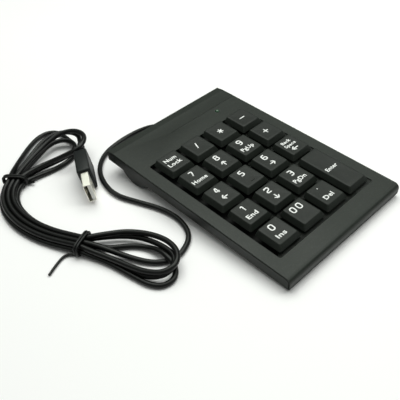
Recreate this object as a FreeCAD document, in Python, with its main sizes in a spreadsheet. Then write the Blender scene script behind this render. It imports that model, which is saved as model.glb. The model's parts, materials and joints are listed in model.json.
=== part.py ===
import FreeCAD, Part
import math
import os
import Sketcher

# Numeric keypad on a USB lead: case, key guide, nineteen sprung keys, switch films, board and lead.
#
# Frame: +X to the right, +Y to the back, +Z up, millimetres. The origin is on the table, at the
# middle of the keypad's own footprint. The case is drawn flat, in a case frame whose origin is the
# middle of its underside, and every piece of it is then tilted about X to the angle at which the
# keypad stands.

SIZES = [
    # the case
    ("case_width", 92.0, "case, left to right"),
    ("case_length", 138.0, "case, front to back"),
    ("case_height", 7.0, "edge of the flat case, underside to deck"),
    ("case_tilt", 3.3, "degrees by which the back stands higher"),
    ("wall", 1.8, "side walls"),
    ("floor", 1.5, "floor of the tray"),
    ("deck", 1.8, "thickness of the deck"),
    ("deck_edge", 0.6, "visible edge of the deck above the seam"),
    ("seam", 0.5, "open seam under the edge of the deck"),
    ("cover_play", 0.15, "clearance of the deck inside the walls"),
    ("nose_top_radius", 3.0, "front edge, above"),
    ("nose_low_radius", 1.5, "front edge, below"),
    ("back_low_radius", 1.0, "back edge, below"),
    ("strip_length", 5.4, "sloping strip along the back edge"),
    ("strip_drop", 0.8, "fall of that strip"),
    ("score_from_back", 15.0, "scored line across the deck"),
    ("score_start", -9.0, "left end of the scored line"),
    ("score_width", 0.5, "width of the scored line"),
    ("score_depth", 0.3, "depth of the scored line"),
    # the hump that the back stands on
    ("hump_from_back", 22.0, "centre of the hump"),
    ("hump_chord", 24.0, "hump, where it leaves the underside"),
    ("hump_depth", 7.5, "hump, below the underside"),
    ("hump_inset", 1.4, "end of the hump, in from the side"),
    ("hump_wall", 1.6, "wall of the hump"),
    ("hump_cells", 5.0, "hollow cells in the hump"),
    ("rib", 1.4, "ribs between the cells"),
    # the keys
    ("pitch", 19.0, "key to key, both ways"),
    ("grid_from_back", 30.0, "back of the key field"),
    ("key_gap", 2.4, "gap between two keys at their skirts"),
    ("well_margin", 0.6, "well, outside the key field"),
    ("well_radius", 1.2, "corners of the well"),
    ("key_rise", 4.15, "key tops above the deck"),
    ("skirt_rise", 0.9, "skirts above the deck"),
    ("taper_side", 1.6, "slope of a key's sides"),
    ("taper_front", 1.75, "slope of a key's front"),
    ("taper_back", 0.5, "slope of a key's back"),
    ("key_wall", 1.1, "wall of a key"),
    ("key_top_wall", 1.3, "top of a key"),
    ("key_corner", 1.2, "upright corners of a key"),
    ("key_inner_corner", 0.4, "upright corners inside a key"),
    ("travel", 2.4, "key stroke"),
    ("stem_radius", 2.5, "guided stem under each key"),
    ("stem_play", 0.06, "running clearance of stems and posts"),
    ("lug_reach", 0.8, "retaining lugs, out from the stem"),
    ("lug_width", 1.4, "retaining lugs, across"),
    ("lug_height", 1.1, "retaining lugs, up and down"),
    ("lug_rise", 0.45, "retaining lugs above the stem's end"),
    ("stop_gap", 0.05, "lug to stop, at rest"),
    ("slot_play", 0.1, "lug to slot, all round"),
    ("post_radius", 1.5, "two extra guide posts of the tall key"),
    ("post_offset", 12.0, "those posts, from the middle of the key"),
    # films, domes and the key guide
    ("film", 0.15, "one switch film"),
    ("film_margin", 1.0, "films, inside the key field"),
    ("film_hole", 2.4, "contact hole in the spacer film, radius"),
    ("tail_width", 24.0, "tail of the films"),
    ("tail_length", 13.0, "tail of the films, behind the key field"),
    ("dome_height", 3.0, "rubber dome"),
    ("dome_foot_radius", 4.3, "foot of the dome"),
    ("dome_body_radius", 3.5, "dome, above its foot"),
    ("dome_neck_radius", 2.2, "dome, below its head"),
    ("dome_foot", 0.35, "thickness of the foot"),
    ("dome_head", 0.8, "height of the head"),
    ("dome_skin", 0.55, "thickness of the dome"),
    ("plate_lift", 0.45, "key guide above the films"),
    ("plate", 1.2, "key guide"),
    ("plate_side", 1.5, "key guide beyond the well, left and right"),
    ("plate_ends", 4.0, "key guide beyond the well, front and back"),
    ("chamber_play", 0.2, "dome chamber round the dome's foot"),
    ("chamber_wall", 1.2, "wall of the dome chamber"),
    ("guide_wall", 1.3, "wall of the guide sleeve"),
    ("guide_step", 0.8, "roof of the dome chamber"),
    ("shoulder_gap", 0.15, "dome head to chamber roof"),
    ("sleeve_gap", 0.2, "guide sleeve to a key that is fully down"),
    # the board
    ("board_width", 62.0, "controller board"),
    ("board_length", 15.0, "controller board"),
    ("board_thickness", 1.0, "controller board"),
    ("board_from_back", 6.5, "controller board"),
    ("board_boss_x", 15.0, "screws of the board"),
    ("board_screw_in", 2.2, "screws of the board, from its front edge"),
    ("bar_length", 36.0, "clamp bar"),
    ("bar_width", 3.8, "clamp bar"),
    ("bar_thickness", 0.8, "clamp bar"),
    ("led_x", 26.2, "lamp, from the middle"),
    ("led_from_back", 19.6, "lamp"),
    ("led_radius", 1.5, "lamp"),
    ("led_proud", 0.9, "lamp above the deck"),
    ("led_play", 0.12, "lamp in the deck"),
    # screws and feet
    ("case_screw_radius", 1.2, "case screws, shank"),
    ("case_head_radius", 2.1, "case screws, head"),
    ("case_head", 1.2, "case screws, head height"),
    ("case_head_sunk", 0.3, "case screws, below the underside"),
    ("screw_play", 0.1, "shank clearance in its holes"),
    ("head_play", 0.3, "head clearance in its counterbore"),
    ("boss_wall", 1.5, "bosses round the screws"),
    ("front_screw_x", 28.0, "case screws, front pair"),
    ("front_screw_out", 1.6, "case screws, front pair, in front of the key guide"),
    ("back_screw_x", 39.0, "case screws, back pair"),
    ("back_screw_in", 6.0, "case screws, back pair, from the back edge"),
    ("inner_screw_radius", 1.0, "screws inside, shank"),
    ("inner_head_radius", 1.8, "screws inside, head"),
    ("inner_head", 0.8, "screws inside, head height"),
    ("inner_screw_length", 3.0, "screws inside, shank"),
    ("plate_screw_x", 12.0, "screws of the key guide, front pair"),
    ("plate_screw_in", 1.9, "screws of the key guide, from its edge"),
    ("foot_radius", 4.0, "front feet"),
    ("foot_x", 38.5, "front feet"),
    ("foot_in", 5.7, "front feet, from the front edge"),
    ("foot_sunk", 0.6, "feet in their recesses"),
    ("foot_play", 0.1, "feet in their recesses, all round"),
    ("pad_x", 31.0, "rubber strips under the hump"),
    ("pad_length", 14.0, "rubber strips under the hump"),
    ("pad_width", 5.0, "rubber strips under the hump"),
    ("pad_proud", 0.5, "rubber strips below the hump"),
    # the lead
    ("cord_radius", 1.5, "lead"),
    ("gland_x", 0.0, "strain relief, from the middle"),
    ("gland_drop", 2.6, "strain relief, below the underside"),
    ("gland_radius", 2.1, "strain relief, in the hump's wall"),
    ("gland_flange_radius", 2.3, "strain relief, inside"),
    ("gland_flange", 0.8, "strain relief, thickness of its flange"),
    ("gland_play", 0.05, "strain relief in its hole"),
    ("boot_from_back", 10.0, "root of the boot"),
    ("boot_length", 7.0, "boot"),
    ("boot_wall", 0.25, "boot, wall at its end"),
    ("wire_radius", 0.3, "wires of the lead"),
    ("hank_height", 7.5, "hank of the lead"),
    ("tie_width", 2.6, "ties round the hank"),
    ("tie_tail_radius", 0.7, "free end of the front tie"),
    # the plug
    ("plug_length", 21.0, "moulded grip"),
    ("plug_width", 15.5, "moulded grip"),
    ("plug_thickness", 8.0, "moulded grip"),
    ("plug_round", 1.2, "moulded grip, edges"),
    ("neck_length", 16.0, "neck of the plug"),
    ("neck_radius", 2.8, "neck of the plug, at the grip"),
    ("neck_end_radius", 2.0, "neck of the plug, at the lead"),
    ("shell_length", 12.0, "plug shell"),
    ("shell_width", 12.0, "plug shell"),
    ("shell_thickness", 4.5, "plug shell"),
    ("shell_wall", 0.3, "plug shell"),
    ("tongue_thickness", 1.9, "plug tongue"),
    ("tongue_short", 0.4, "tongue, back from the mouth"),
    ("latch_size", 2.2, "latch windows in the shell"),
    ("latch_x", 2.75, "latch windows, from the middle"),
    ("latch_in", 5.2, "latch windows, from the mouth"),
    ("plug_lean", 8.0, "degrees by which the plug leans"),
    ("plug_yaw", 60.9, "degrees from +X round to the lead end of the plug"),
    ("plug_x", -55.3, "plug, back of the grip"),
    ("plug_y", 82.3, "plug, back of the grip"),
]

KEYS = [
    # name, column from the left, row from the back
    ("num_lock", 0, 0), ("divide", 1, 0), ("multiply", 2, 0), ("subtract", 3, 0),
    ("7", 0, 1), ("8", 1, 1), ("9", 2, 1), ("add", 3, 1),
    ("4", 0, 2), ("5", 1, 2), ("6", 2, 2), ("backspace", 3, 2),
    ("1", 0, 3), ("2", 1, 3), ("3", 2, 3),
    ("0", 0, 4), ("00", 1, 4), ("decimal", 2, 4),
]
TALL_KEY = ("enter", 3, 3.5)

# the lead: behind the case, with y from the end of the boot, and then on the table to the hank
LEAD_EXIT = [(0.0, 8.0, 6.7), (-4.0, 16.0, 4.3), (-13.0, 21.2, 1.9), (-25.5, 21.4, 1.5)]
LEAD_ROUTE = [
    (-39.0, 84.6, 1.5), (-50.4, 75.5, 1.5), (-57.0, 62.0, 1.5), (-59.0, 47.5, 1.5),
    (-53.6, 32.8, 1.5), (-48.4, 18.6, 1.5), (-47.6, 4.2, 1.5), (-52.6, -8.2, 1.5),
    (-64.5, -13.8, 1.5),
]
# outline of the hank on the table, and its two ties: place and direction of the bundle there
HANK_OUTLINE = [
    (-62.3, 2.0), (-61.8, -9.0), (-66.5, -19.0), (-75.0, -24.6), (-84.0, -23.0),
    (-91.0, -13.0), (-95.0, 2.0), (-98.4, 20.0), (-102.5, 31.0), (-110.5, 46.0),
    (-114.3, 62.0), (-114.8, 80.0), (-108.0, 96.0), (-95.5, 108.5), (-80.0, 122.0),
    (-62.0, 135.0), (-48.5, 135.2), (-38.0, 124.0), (-36.6, 110.0), (-42.0, 98.5),
    (-47.5, 90.5), (-56.0, 91.0), (-72.0, 92.8), (-86.0, 93.8), (-96.5, 89.5),
    (-102.0, 76.0), (-100.4, 62.0), (-96.6, 48.0), (-90.8, 33.0), (-79.0, 25.5),
    (-68.5, 16.5),
]
HANK_TIES = [
    # x, y, degrees of the bundle's direction, width of the bundle
    (-96.0, 29.7, 112.0, 11.0),
    (-91.5, 100.4, 52.0, 13.5),
]
TIE_TAIL = [(-99.5, 27.4, 1.6), (-104.0, 30.6, 1.2), (-109.5, 30.2, 0.9), (-118.6, 25.6, 0.8)]

doc = FreeCAD.newDocument("numeric_keypad")
sheet = doc.addObject("Spreadsheet::Sheet", "sizes")
for line, (name, number, note) in enumerate(SIZES, start=1):
    sheet.set(f"A{line}", name)
    sheet.set(f"B{line}", str(number))
    sheet.set(f"C{line}", note)
    sheet.setAlias(f"B{line}", name)
doc.recompute()

SIZE_NAMES = sorted((name for name, _, _ in SIZES), key=len, reverse=True)
subparts = []


def size(expression):
    """The value of an expression in the sheet's names."""
    result = sheet.evalExpression(expression)
    return float(getattr(result, "Value", result))


def bound(expression):
    """The same expression as another object writes it, with the sheet's name before each size."""
    words = []
    word = ""
    for letter in expression + " ":
        if letter.isalnum() or letter == "_":
            word += letter
            continue
        words.append(f"sizes.{word}" if word in SIZE_NAMES else word)
        words.append(letter)
        word = ""
    return "".join(words).strip()


# derived heights and places in the case frame, written once and used by every piece
SEAM_TOP = "case_height - deck_edge"
TRAY_TOP = "case_height - deck_edge - seam"
DECK_UNDER = "case_height - deck"
BACK = "case_length / 2"
FRONT = "-case_length / 2"
GRID_BACK = "case_length / 2 - grid_from_back"
GRID_FRONT = "case_length / 2 - grid_from_back - 5 * pitch"
WELL_X = "2 * pitch + well_margin"
WELL_BACK = f"{GRID_BACK} + well_margin"
WELL_FRONT = f"{GRID_FRONT} - well_margin"
KEY_TOP = "case_height + key_rise"
SKIRT = "case_height + skirt_rise"
FILM_TOP = "floor + 3 * film"
DOME_TOP = f"{FILM_TOP} + dome_height"
PLATE_LOW = f"{FILM_TOP} + plate_lift"
PLATE_TOP = f"{PLATE_LOW} + plate"
SHOULDER = f"{DOME_TOP} + shoulder_gap"
SLEEVE_TOP = f"{KEY_TOP} - key_top_wall - travel - sleeve_gap"
PLATE_X = f"{WELL_X} + plate_side"
PLATE_BACK = f"{WELL_BACK} + plate_ends"
PLATE_FRONT = f"{WELL_FRONT} - plate_ends"
INNER_X = "case_width / 2 - wall"
INNER_BACK = "case_length / 2 - wall"
INNER_FRONT = "-case_length / 2 + deck_edge + seam + wall"
HUMP_Y = "case_length / 2 - hump_from_back"
HUMP_RADIUS = "(hump_chord * hump_chord / 4 + hump_depth * hump_depth) / (2 * hump_depth)"
HUMP_Z = f"{HUMP_RADIUS} - hump_depth"
BOARD_BACK = "case_length / 2 - board_from_back"
BOARD_FRONT = f"{BOARD_BACK} - board_length"
BOARD_TOP = f"{FILM_TOP} + board_thickness"
BAR_TOP = f"{BOARD_TOP} + bar_thickness"
BOARD_SCREW_Y = f"{BOARD_FRONT} + board_screw_in"
PLATE_SCREW_BACK = f"{PLATE_BACK} - plate_screw_in"
PLATE_SCREW_FRONT = f"{PLATE_FRONT} + plate_screw_in"
FRONT_SCREW_Y = f"{PLATE_FRONT} - front_screw_out"
BACK_SCREW_Y = f"{BACK} - back_screw_in"
LED_Y = f"{BACK} - led_from_back"
BOOT_ROOT = f"{BACK} - boot_from_back"
BOOT_END = f"{BOOT_ROOT} + boot_length"

CELL = "(case_width - 2 * hump_inset - 2 * hump_wall - (hump_cells - 1) * rib) / hump_cells"
RIB_X = f"1.5 * ({CELL} + rib)"
BOSS_LOW = "floor + case_head"
BOSS_RADIUS = "case_head_radius + head_play + boss_wall / 2"
PILOT_TOP = f"{DECK_UNDER} + 0.7 * (deck - deck_edge)"
FOOT_Y = f"{FRONT} + foot_in"
PAD_CEILING = "-hump_depth + foot_sunk + 0.3"
LUG_LOW = f"{DOME_TOP} + lug_rise"
LUG_TOP = f"{LUG_LOW} + lug_height"

CASE_SCREWS = [("front_screw_x", FRONT_SCREW_Y), ("-front_screw_x", FRONT_SCREW_Y),
               ("back_screw_x", BACK_SCREW_Y), ("-back_screw_x", BACK_SCREW_Y)]
PLATE_SCREWS = [("plate_screw_x", PLATE_SCREW_FRONT), ("-plate_screw_x", PLATE_SCREW_FRONT),
                (RIB_X, PLATE_SCREW_BACK), (f"-({RIB_X})", PLATE_SCREW_BACK)]
BOARD_SCREWS = [("board_boss_x", BOARD_SCREW_Y), ("-board_boss_x", BOARD_SCREW_Y)]

TILT = math.radians(size("case_tilt"))
PAD_Y = f"{HUMP_Y} - {HUMP_RADIUS} * sin(case_tilt * 1 deg)"


def case_placement():
    """Tilt of the case about X, and the lift and shift that set it on the table, centred on Y."""
    cosine, sine = math.cos(TILT), math.sin(TILT)
    hump = size(HUMP_RADIUS)
    lift = hump + size("pad_proud") - size(HUMP_Y) * sine - size(HUMP_Z) * cosine
    low = size("back_low_radius")
    back = (size(BACK) - low) * cosine - low * sine + low
    nose = size("nose_top_radius")
    front = (size(FRONT) + nose) * cosine - (size("case_height") - nose) * sine - nose
    turn = FreeCAD.Rotation(FreeCAD.Vector(1, 0, 0), size("case_tilt"))
    return FreeCAD.Placement(FreeCAD.Vector(0, -(back + front) / 2, lift), turn)


CASE = case_placement()


def key_centre(column, row):
    """Centre of a key in the case frame, as expressions."""
    return f"({column} - 1.5) * pitch", f"{GRID_BACK} - ({row} + 0.5) * pitch"


def key_spots():
    """Centres of all nineteen keys."""
    return [key_centre(column, row) for _, column, row in KEYS + [TALL_KEY]]


def post_spots():
    """The two extra guide posts of the tall key."""
    x, y = key_centre(*TALL_KEY[1:])
    return [(x, f"{y} + post_offset"), (x, f"{y} - post_offset")]


def new_body(label, placement=CASE):
    """A body that is one sub-part."""
    body = doc.addObject("PartDesign::Body", label)
    body.Label = label
    body.Placement = placement
    subparts.append(body)
    return body


def add_sketch(body, role, offset="0"):
    """A sketch on one of the body's own planes, moved along the plane's normal by offset."""
    number = len([item for item in body.Group if item.TypeId == "Sketcher::SketchObject"])
    sketch = body.newObject("Sketcher::SketchObject", f"{body.Name}_sketch_{number}")
    plane = next(item for item in body.Origin.OriginFeatures if item.Role == role)
    sketch.AttachmentSupport = [(plane, "")]
    sketch.MapMode = "FlatFace"
    sketch.setExpression("AttachmentOffset.Base.z", bound(offset))
    return sketch


def pin_point(sketch, element, point, x, y):
    """Hold a point of a sketch at two expressions."""
    for kind, expression, axis in (("DistanceX", x, -2), ("DistanceY", y, -1)):
        number = size(expression)
        if abs(number) < 1e-7:
            sketch.addConstraint(Sketcher.Constraint("PointOnObject", element, point, axis))
            continue
        constraint = Sketcher.Constraint(kind, -1, 1, element, point, number)
        sketch.setExpression(f"Constraints[{sketch.addConstraint(constraint)}]", bound(expression))


def add_polygon(sketch, corners):
    """A closed outline of straight lines through pairs of expressions."""
    points = [FreeCAD.Vector(size(x), size(y), 0) for x, y in corners]
    first = sketch.GeometryCount
    for index, point in enumerate(points):
        sketch.addGeometry(Part.LineSegment(point, points[(index + 1) % len(points)]))
    for index, (x, y) in enumerate(corners):
        following = first + (index + 1) % len(corners)
        sketch.addConstraint(Sketcher.Constraint("Coincident", first + index, 2, following, 1))
        pin_point(sketch, first + index, 1, x, y)


def add_rectangle(sketch, left, right, low, high):
    """A rectangle between four expressions."""
    add_polygon(sketch, [(left, low), (right, low), (right, high), (left, high)])


def add_rounded(sketch, left, right, low, high, radius):
    """A rectangle between four expressions, with round corners."""
    far = size(radius)
    centres = [(f"{right} - {radius}", f"{high} - {radius}"), (f"{left} + {radius}", f"{high} - {radius}"),
               (f"{left} + {radius}", f"{low} + {radius}"), (f"{right} - {radius}", f"{low} + {radius}")]
    arcs = []
    for quarter, (x, y) in enumerate(centres):
        middle = FreeCAD.Vector(size(x), size(y), 0)
        circle = Part.Circle(middle, FreeCAD.Vector(0, 0, 1), far)
        start = quarter * math.pi / 2
        arcs.append(sketch.addGeometry(Part.ArcOfCircle(circle, start, start + math.pi / 2)))
        constraint = Sketcher.Constraint("Radius", arcs[-1], far)
        sketch.setExpression(f"Constraints[{sketch.addConstraint(constraint)}]", bound(radius))
        pin_point(sketch, arcs[-1], 3, x, y)
    for quarter, arc in enumerate(arcs):
        following = arcs[(quarter + 1) % 4]
        start = sketch.Geometry[arc].EndPoint
        line = sketch.addGeometry(Part.LineSegment(start, sketch.Geometry[following].StartPoint))
        sketch.addConstraint(Sketcher.Constraint("Tangent", arc, 2, line, 1))
        sketch.addConstraint(Sketcher.Constraint("Tangent", line, 2, following, 1))


def add_block(sketch, x, y, half_x, half_y):
    """A rectangle round a centre."""
    add_rectangle(sketch, f"{x} - ({half_x})", f"{x} + {half_x}", f"{y} - ({half_y})", f"{y} + {half_y}")


def add_circle(sketch, x, y, radius):
    """A circle round a centre."""
    centre = FreeCAD.Vector(size(x), size(y), 0)
    element = sketch.addGeometry(Part.Circle(centre, FreeCAD.Vector(0, 0, 1), size(radius)))
    constraint = Sketcher.Constraint("Radius", element, size(radius))
    sketch.setExpression(f"Constraints[{sketch.addConstraint(constraint)}]", bound(radius))
    pin_point(sketch, element, 3, x, y)


def extrude(body, kind, sketch, length=None, both_ways=False, reverse=False):
    """A Pad or a Pocket of a sketch; with no length, a Pocket goes right through."""
    feature = body.newObject(f"PartDesign::{kind}", f"{sketch.Name}_{kind.lower()}")
    feature.Profile = sketch
    if both_ways:
        feature.SideType = "Symmetric"
    feature.Reversed = reverse
    if length is None:
        feature.Type = "ThroughAll"
    else:
        feature.setExpression("Length", bound(length))
    body.Tip = feature
    doc.recompute()
    return feature


def pad(body, sketch, length, **options):
    """Add material on a sketch."""
    return extrude(body, "Pad", sketch, length, **options)


def pocket(body, sketch, length=None, **options):
    """Cut a sketch out, and check that it took something away."""
    before = body.Shape.Volume
    feature = extrude(body, "Pocket", sketch, length, **options)
    if body.Shape.Volume > before - 1e-6:
        raise RuntimeError(f"{feature.Name} cuts nothing")
    return feature


def circles(body, spots, radius, offset="0"):
    """A sketch of equal circles at a height of the case frame."""
    sketch = add_sketch(body, "XY_Plane", offset)
    for x, y in spots:
        add_circle(sketch, x, y, radius)
    return sketch


def round_edges(body, radius, wanted):
    """Fillet the edges of the tip that pass the test."""
    base = body.Tip
    names = [f"Edge{index}" for index, edge in enumerate(base.Shape.Edges, start=1) if wanted(edge)]
    if not names:
        raise RuntimeError(f"{body.Label} has no such edge")
    fillet = body.newObject("PartDesign::Fillet", f"{body.Name}_{radius}_fillet")
    fillet.Base = (base, names)
    fillet.setExpression("Radius", bound(radius))
    body.Tip = fillet
    doc.recompute()
    return fillet


def along_x_at(y, z):
    """Test for a straight edge along X at a place of the profile."""
    def test(edge):
        box = edge.BoundBox
        flat = box.YLength < 1e-4 and box.ZLength < 1e-4
        return flat and abs(box.YMin - y) < 1e-3 and abs(box.ZMin - z) < 1e-3
    return test


def upright_at(half_x, low, high):
    """Test for an upright edge at the corners of a rectangle."""
    def test(edge):
        box = edge.BoundBox
        upright = box.XLength < 1e-4 and box.YLength < 1e-4
        return upright and abs(abs(box.XMin) - half_x) < 1e-3 and min(
            abs(box.YMin - low), abs(box.YMin - high)) < 1e-3
    return test


def build_top_cover():
    """Deck with the key well, wrapped over the front edge, and four bosses for the case screws."""
    body = new_body("top_cover")
    profile = add_sketch(body, "YZ_Plane")
    strip = f"{BACK} - strip_length"
    add_polygon(profile, [
        (BACK, "case_height - strip_drop"), (strip, "case_height"), (FRONT, "case_height"),
        (FRONT, "nose_low_radius"), (f"{FRONT} + deck_edge", "nose_low_radius"),
        (f"{FRONT} + deck_edge", SEAM_TOP), (strip, SEAM_TOP), (BACK, f"{SEAM_TOP} - strip_drop")])
    pad(body, profile, "case_width", both_ways=True)
    round_edges(body, "nose_top_radius", along_x_at(size(FRONT), size("case_height")))
    round_edges(body, "nose_top_radius - deck_edge",
                along_x_at(size(FRONT) + size("deck_edge"), size(SEAM_TOP)))
    inner = add_sketch(body, "XY_Plane", DECK_UNDER)
    add_rectangle(inner, f"-({INNER_X}) + cover_play", f"{INNER_X} - cover_play",
                  f"{INNER_FRONT} + cover_play", f"{INNER_BACK} - cover_play")
    pad(body, inner, "deck - deck_edge")
    well = add_sketch(body, "XY_Plane")
    add_rectangle(well, f"-({WELL_X})", WELL_X, WELL_FRONT, WELL_BACK)
    pocket(body, well, reverse=True)
    round_edges(body, "well_radius", upright_at(size(WELL_X), size(WELL_FRONT), size(WELL_BACK)))
    bosses = circles(body, CASE_SCREWS, "case_screw_radius + boss_wall", BOSS_LOW)
    pad(body, bosses, f"{DECK_UNDER} - ({BOSS_LOW})")
    pilots = circles(body, CASE_SCREWS, "case_screw_radius + screw_play", BOSS_LOW)
    pocket(body, pilots, f"{PILOT_TOP} - ({BOSS_LOW})", reverse=True)
    lamp = circles(body, [("led_x", LED_Y)], "led_radius + led_play")
    pocket(body, lamp, reverse=True)
    score = add_sketch(body, "YZ_Plane", "score_start")
    middle = f"{BACK} - score_from_back"
    add_polygon(score, [(f"{middle} - score_width / 2", "case_height + score_depth"),
                        (middle, "case_height - score_depth"),
                        (f"{middle} + score_width / 2", "case_height + score_depth")])
    pocket(body, score, "case_width", reverse=True)


def build_bottom_cover():
    """Tray with the round hump across its back, bosses, screw holes, foot recesses and lead hole."""
    body = new_body("bottom_cover")
    hump = add_sketch(body, "YZ_Plane")
    add_circle(hump, HUMP_Y, HUMP_Z, HUMP_RADIUS)
    pad(body, hump, "case_width - 2 * hump_inset", both_ways=True)
    upper = add_sketch(body, "XY_Plane")
    add_block(upper, "0", HUMP_Y, "case_width", f"2 * ({HUMP_RADIUS})")
    pocket(body, upper, reverse=True)
    profile = add_sketch(body, "YZ_Plane")
    strip = f"{BACK} - strip_length"
    nose = f"{FRONT} + deck_edge + seam"
    add_polygon(profile, [
        (BACK, "0"), (BACK, f"{TRAY_TOP} - strip_drop"), (strip, TRAY_TOP), (nose, TRAY_TOP),
        (nose, "nose_low_radius - seam"), (FRONT, "nose_low_radius - seam"), (FRONT, "0")])
    pad(body, profile, "case_width", both_ways=True)
    round_edges(body, "back_low_radius", along_x_at(size(BACK), 0))
    round_edges(body, "nose_low_radius - seam - 0.05", along_x_at(size(FRONT), 0))
    round_edges(body, "nose_top_radius - deck_edge - seam", along_x_at(size(nose), size(TRAY_TOP)))
    inside = add_sketch(body, "XY_Plane", "floor")
    add_rectangle(inside, f"-({INNER_X})", INNER_X, INNER_FRONT, INNER_BACK)
    pocket(body, inside, reverse=True)
    cavity = add_sketch(body, "YZ_Plane", "-case_width / 2 + hump_inset + hump_wall")
    add_circle(cavity, HUMP_Y, HUMP_Z, f"{HUMP_RADIUS} - hump_wall")
    cut = pocket(body, cavity, CELL, reverse=True)
    cells = body.newObject("PartDesign::LinearPattern", "hump_hollows")
    cells.Originals = [cut]
    cells.Direction = (next(item for item in body.Origin.OriginFeatures if item.Role == "X_Axis"), [""])
    cells.setExpression("Length", bound(f"({CELL} + rib) * (hump_cells - 1)"))
    cells.Occurrences = int(size("hump_cells"))
    body.Tip = cells
    doc.recompute()
    guide_bosses = circles(body, PLATE_SCREWS[:2], "inner_screw_radius + boss_wall", "floor")
    pad(body, guide_bosses, f"{PLATE_LOW} - floor")
    rib_bosses = circles(body, PLATE_SCREWS[2:], "inner_screw_radius + boss_wall", "-boss_wall")
    pad(body, rib_bosses, f"{PLATE_LOW} + boss_wall")
    root = "-hump_depth + hump_wall"
    board_bosses = circles(body, BOARD_SCREWS, "inner_screw_radius + boss_wall", root)
    pad(body, board_bosses, f"{FILM_TOP} - ({root})")
    case_bosses = circles(body, CASE_SCREWS, BOSS_RADIUS, "floor")
    pad(body, case_bosses, f"{BOSS_LOW} - floor - stop_gap")
    sink = circles(body, CASE_SCREWS, "case_head_radius + head_play")
    pocket(body, sink, "case_head_sunk + case_head", reverse=True)
    through = circles(body, CASE_SCREWS, "case_screw_radius + screw_play")
    pocket(body, through, reverse=True)
    blind = circles(body, PLATE_SCREWS, "inner_screw_radius", f"{PLATE_TOP} - inner_screw_length - stop_gap")
    pocket(body, blind, reverse=True)
    deep = circles(body, BOARD_SCREWS, "inner_screw_radius", f"{BAR_TOP} - inner_screw_length - stop_gap")
    pocket(body, deep, reverse=True)
    recess = circles(body, [("foot_x", FOOT_Y), ("-foot_x", FOOT_Y)], "foot_radius + foot_play")
    pocket(body, recess, "foot_sunk", reverse=True)
    strips = add_sketch(body, "XY_Plane", PAD_CEILING)
    for side in ("pad_x", "-pad_x"):
        add_block(strips, side, PAD_Y, "pad_length / 2 + foot_play", "pad_width / 2 + foot_play")
    pocket(body, strips)
    lead = add_sketch(body, "XZ_Plane", f"-({HUMP_Y})")
    add_circle(lead, "gland_x", "-gland_drop", "gland_radius + gland_play")
    pocket(body, lead, "hump_chord / 2 + boot_from_back")


def build_key_guide():
    """Plate under the keys: a dome chamber, a sleeve and two lug slots for each of them."""
    body = new_body("key_guide")
    base = add_sketch(body, "XY_Plane", PLATE_LOW)
    add_rectangle(base, f"-({PLATE_X})", PLATE_X, PLATE_FRONT, PLATE_BACK)
    pad(body, base, "plate")
    spots = key_spots()
    chamber = "dome_foot_radius + chamber_play"
    shells = circles(body, spots, f"{chamber} + chamber_wall", PLATE_LOW)
    pad(body, shells, f"{SHOULDER} + guide_step - ({PLATE_LOW})")
    sleeves = circles(body, spots, "stem_radius + stem_play + guide_wall", f"{SHOULDER} + guide_step")
    pad(body, sleeves, f"{SLEEVE_TOP} - ({SHOULDER}) - guide_step")
    posts = circles(body, post_spots(), "post_radius + stem_play + guide_wall", PLATE_LOW)
    pad(body, posts, f"{SLEEVE_TOP} - ({PLATE_LOW})")
    chambers = circles(body, spots, chamber, PLATE_LOW)
    pocket(body, chambers, f"{SHOULDER} - ({PLATE_LOW})", reverse=True)
    bores = circles(body, spots, "stem_radius + stem_play", PLATE_LOW)
    pocket(body, bores, reverse=True)
    post_bores = circles(body, post_spots(), "post_radius + stem_play", PLATE_LOW)
    pocket(body, post_bores, reverse=True)
    slots = add_sketch(body, "XY_Plane", PLATE_LOW)
    for x, y in spots:
        add_block(slots, x, y, "stem_radius + lug_reach + slot_play", "lug_width / 2 + slot_play")
    pocket(body, slots, f"{LUG_TOP} + stop_gap - ({PLATE_LOW})", reverse=True)
    screws = circles(body, PLATE_SCREWS, "inner_screw_radius + screw_play", PLATE_LOW)
    pocket(body, screws, reverse=True)
    notches = circles(body, CASE_SCREWS[:2], f"{BOSS_RADIUS} + screw_play", PLATE_LOW)
    pocket(body, notches, reverse=True)


def loft(body, kind, lower, upper):
    """A loft between two sketches, added or cut out."""
    feature = body.newObject(f"PartDesign::{kind}", f"{lower.Name}_loft")
    feature.Profile = lower
    feature.Sections = [upper]
    feature.Ruled = True
    body.Tip = feature
    doc.recompute()
    return feature


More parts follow.
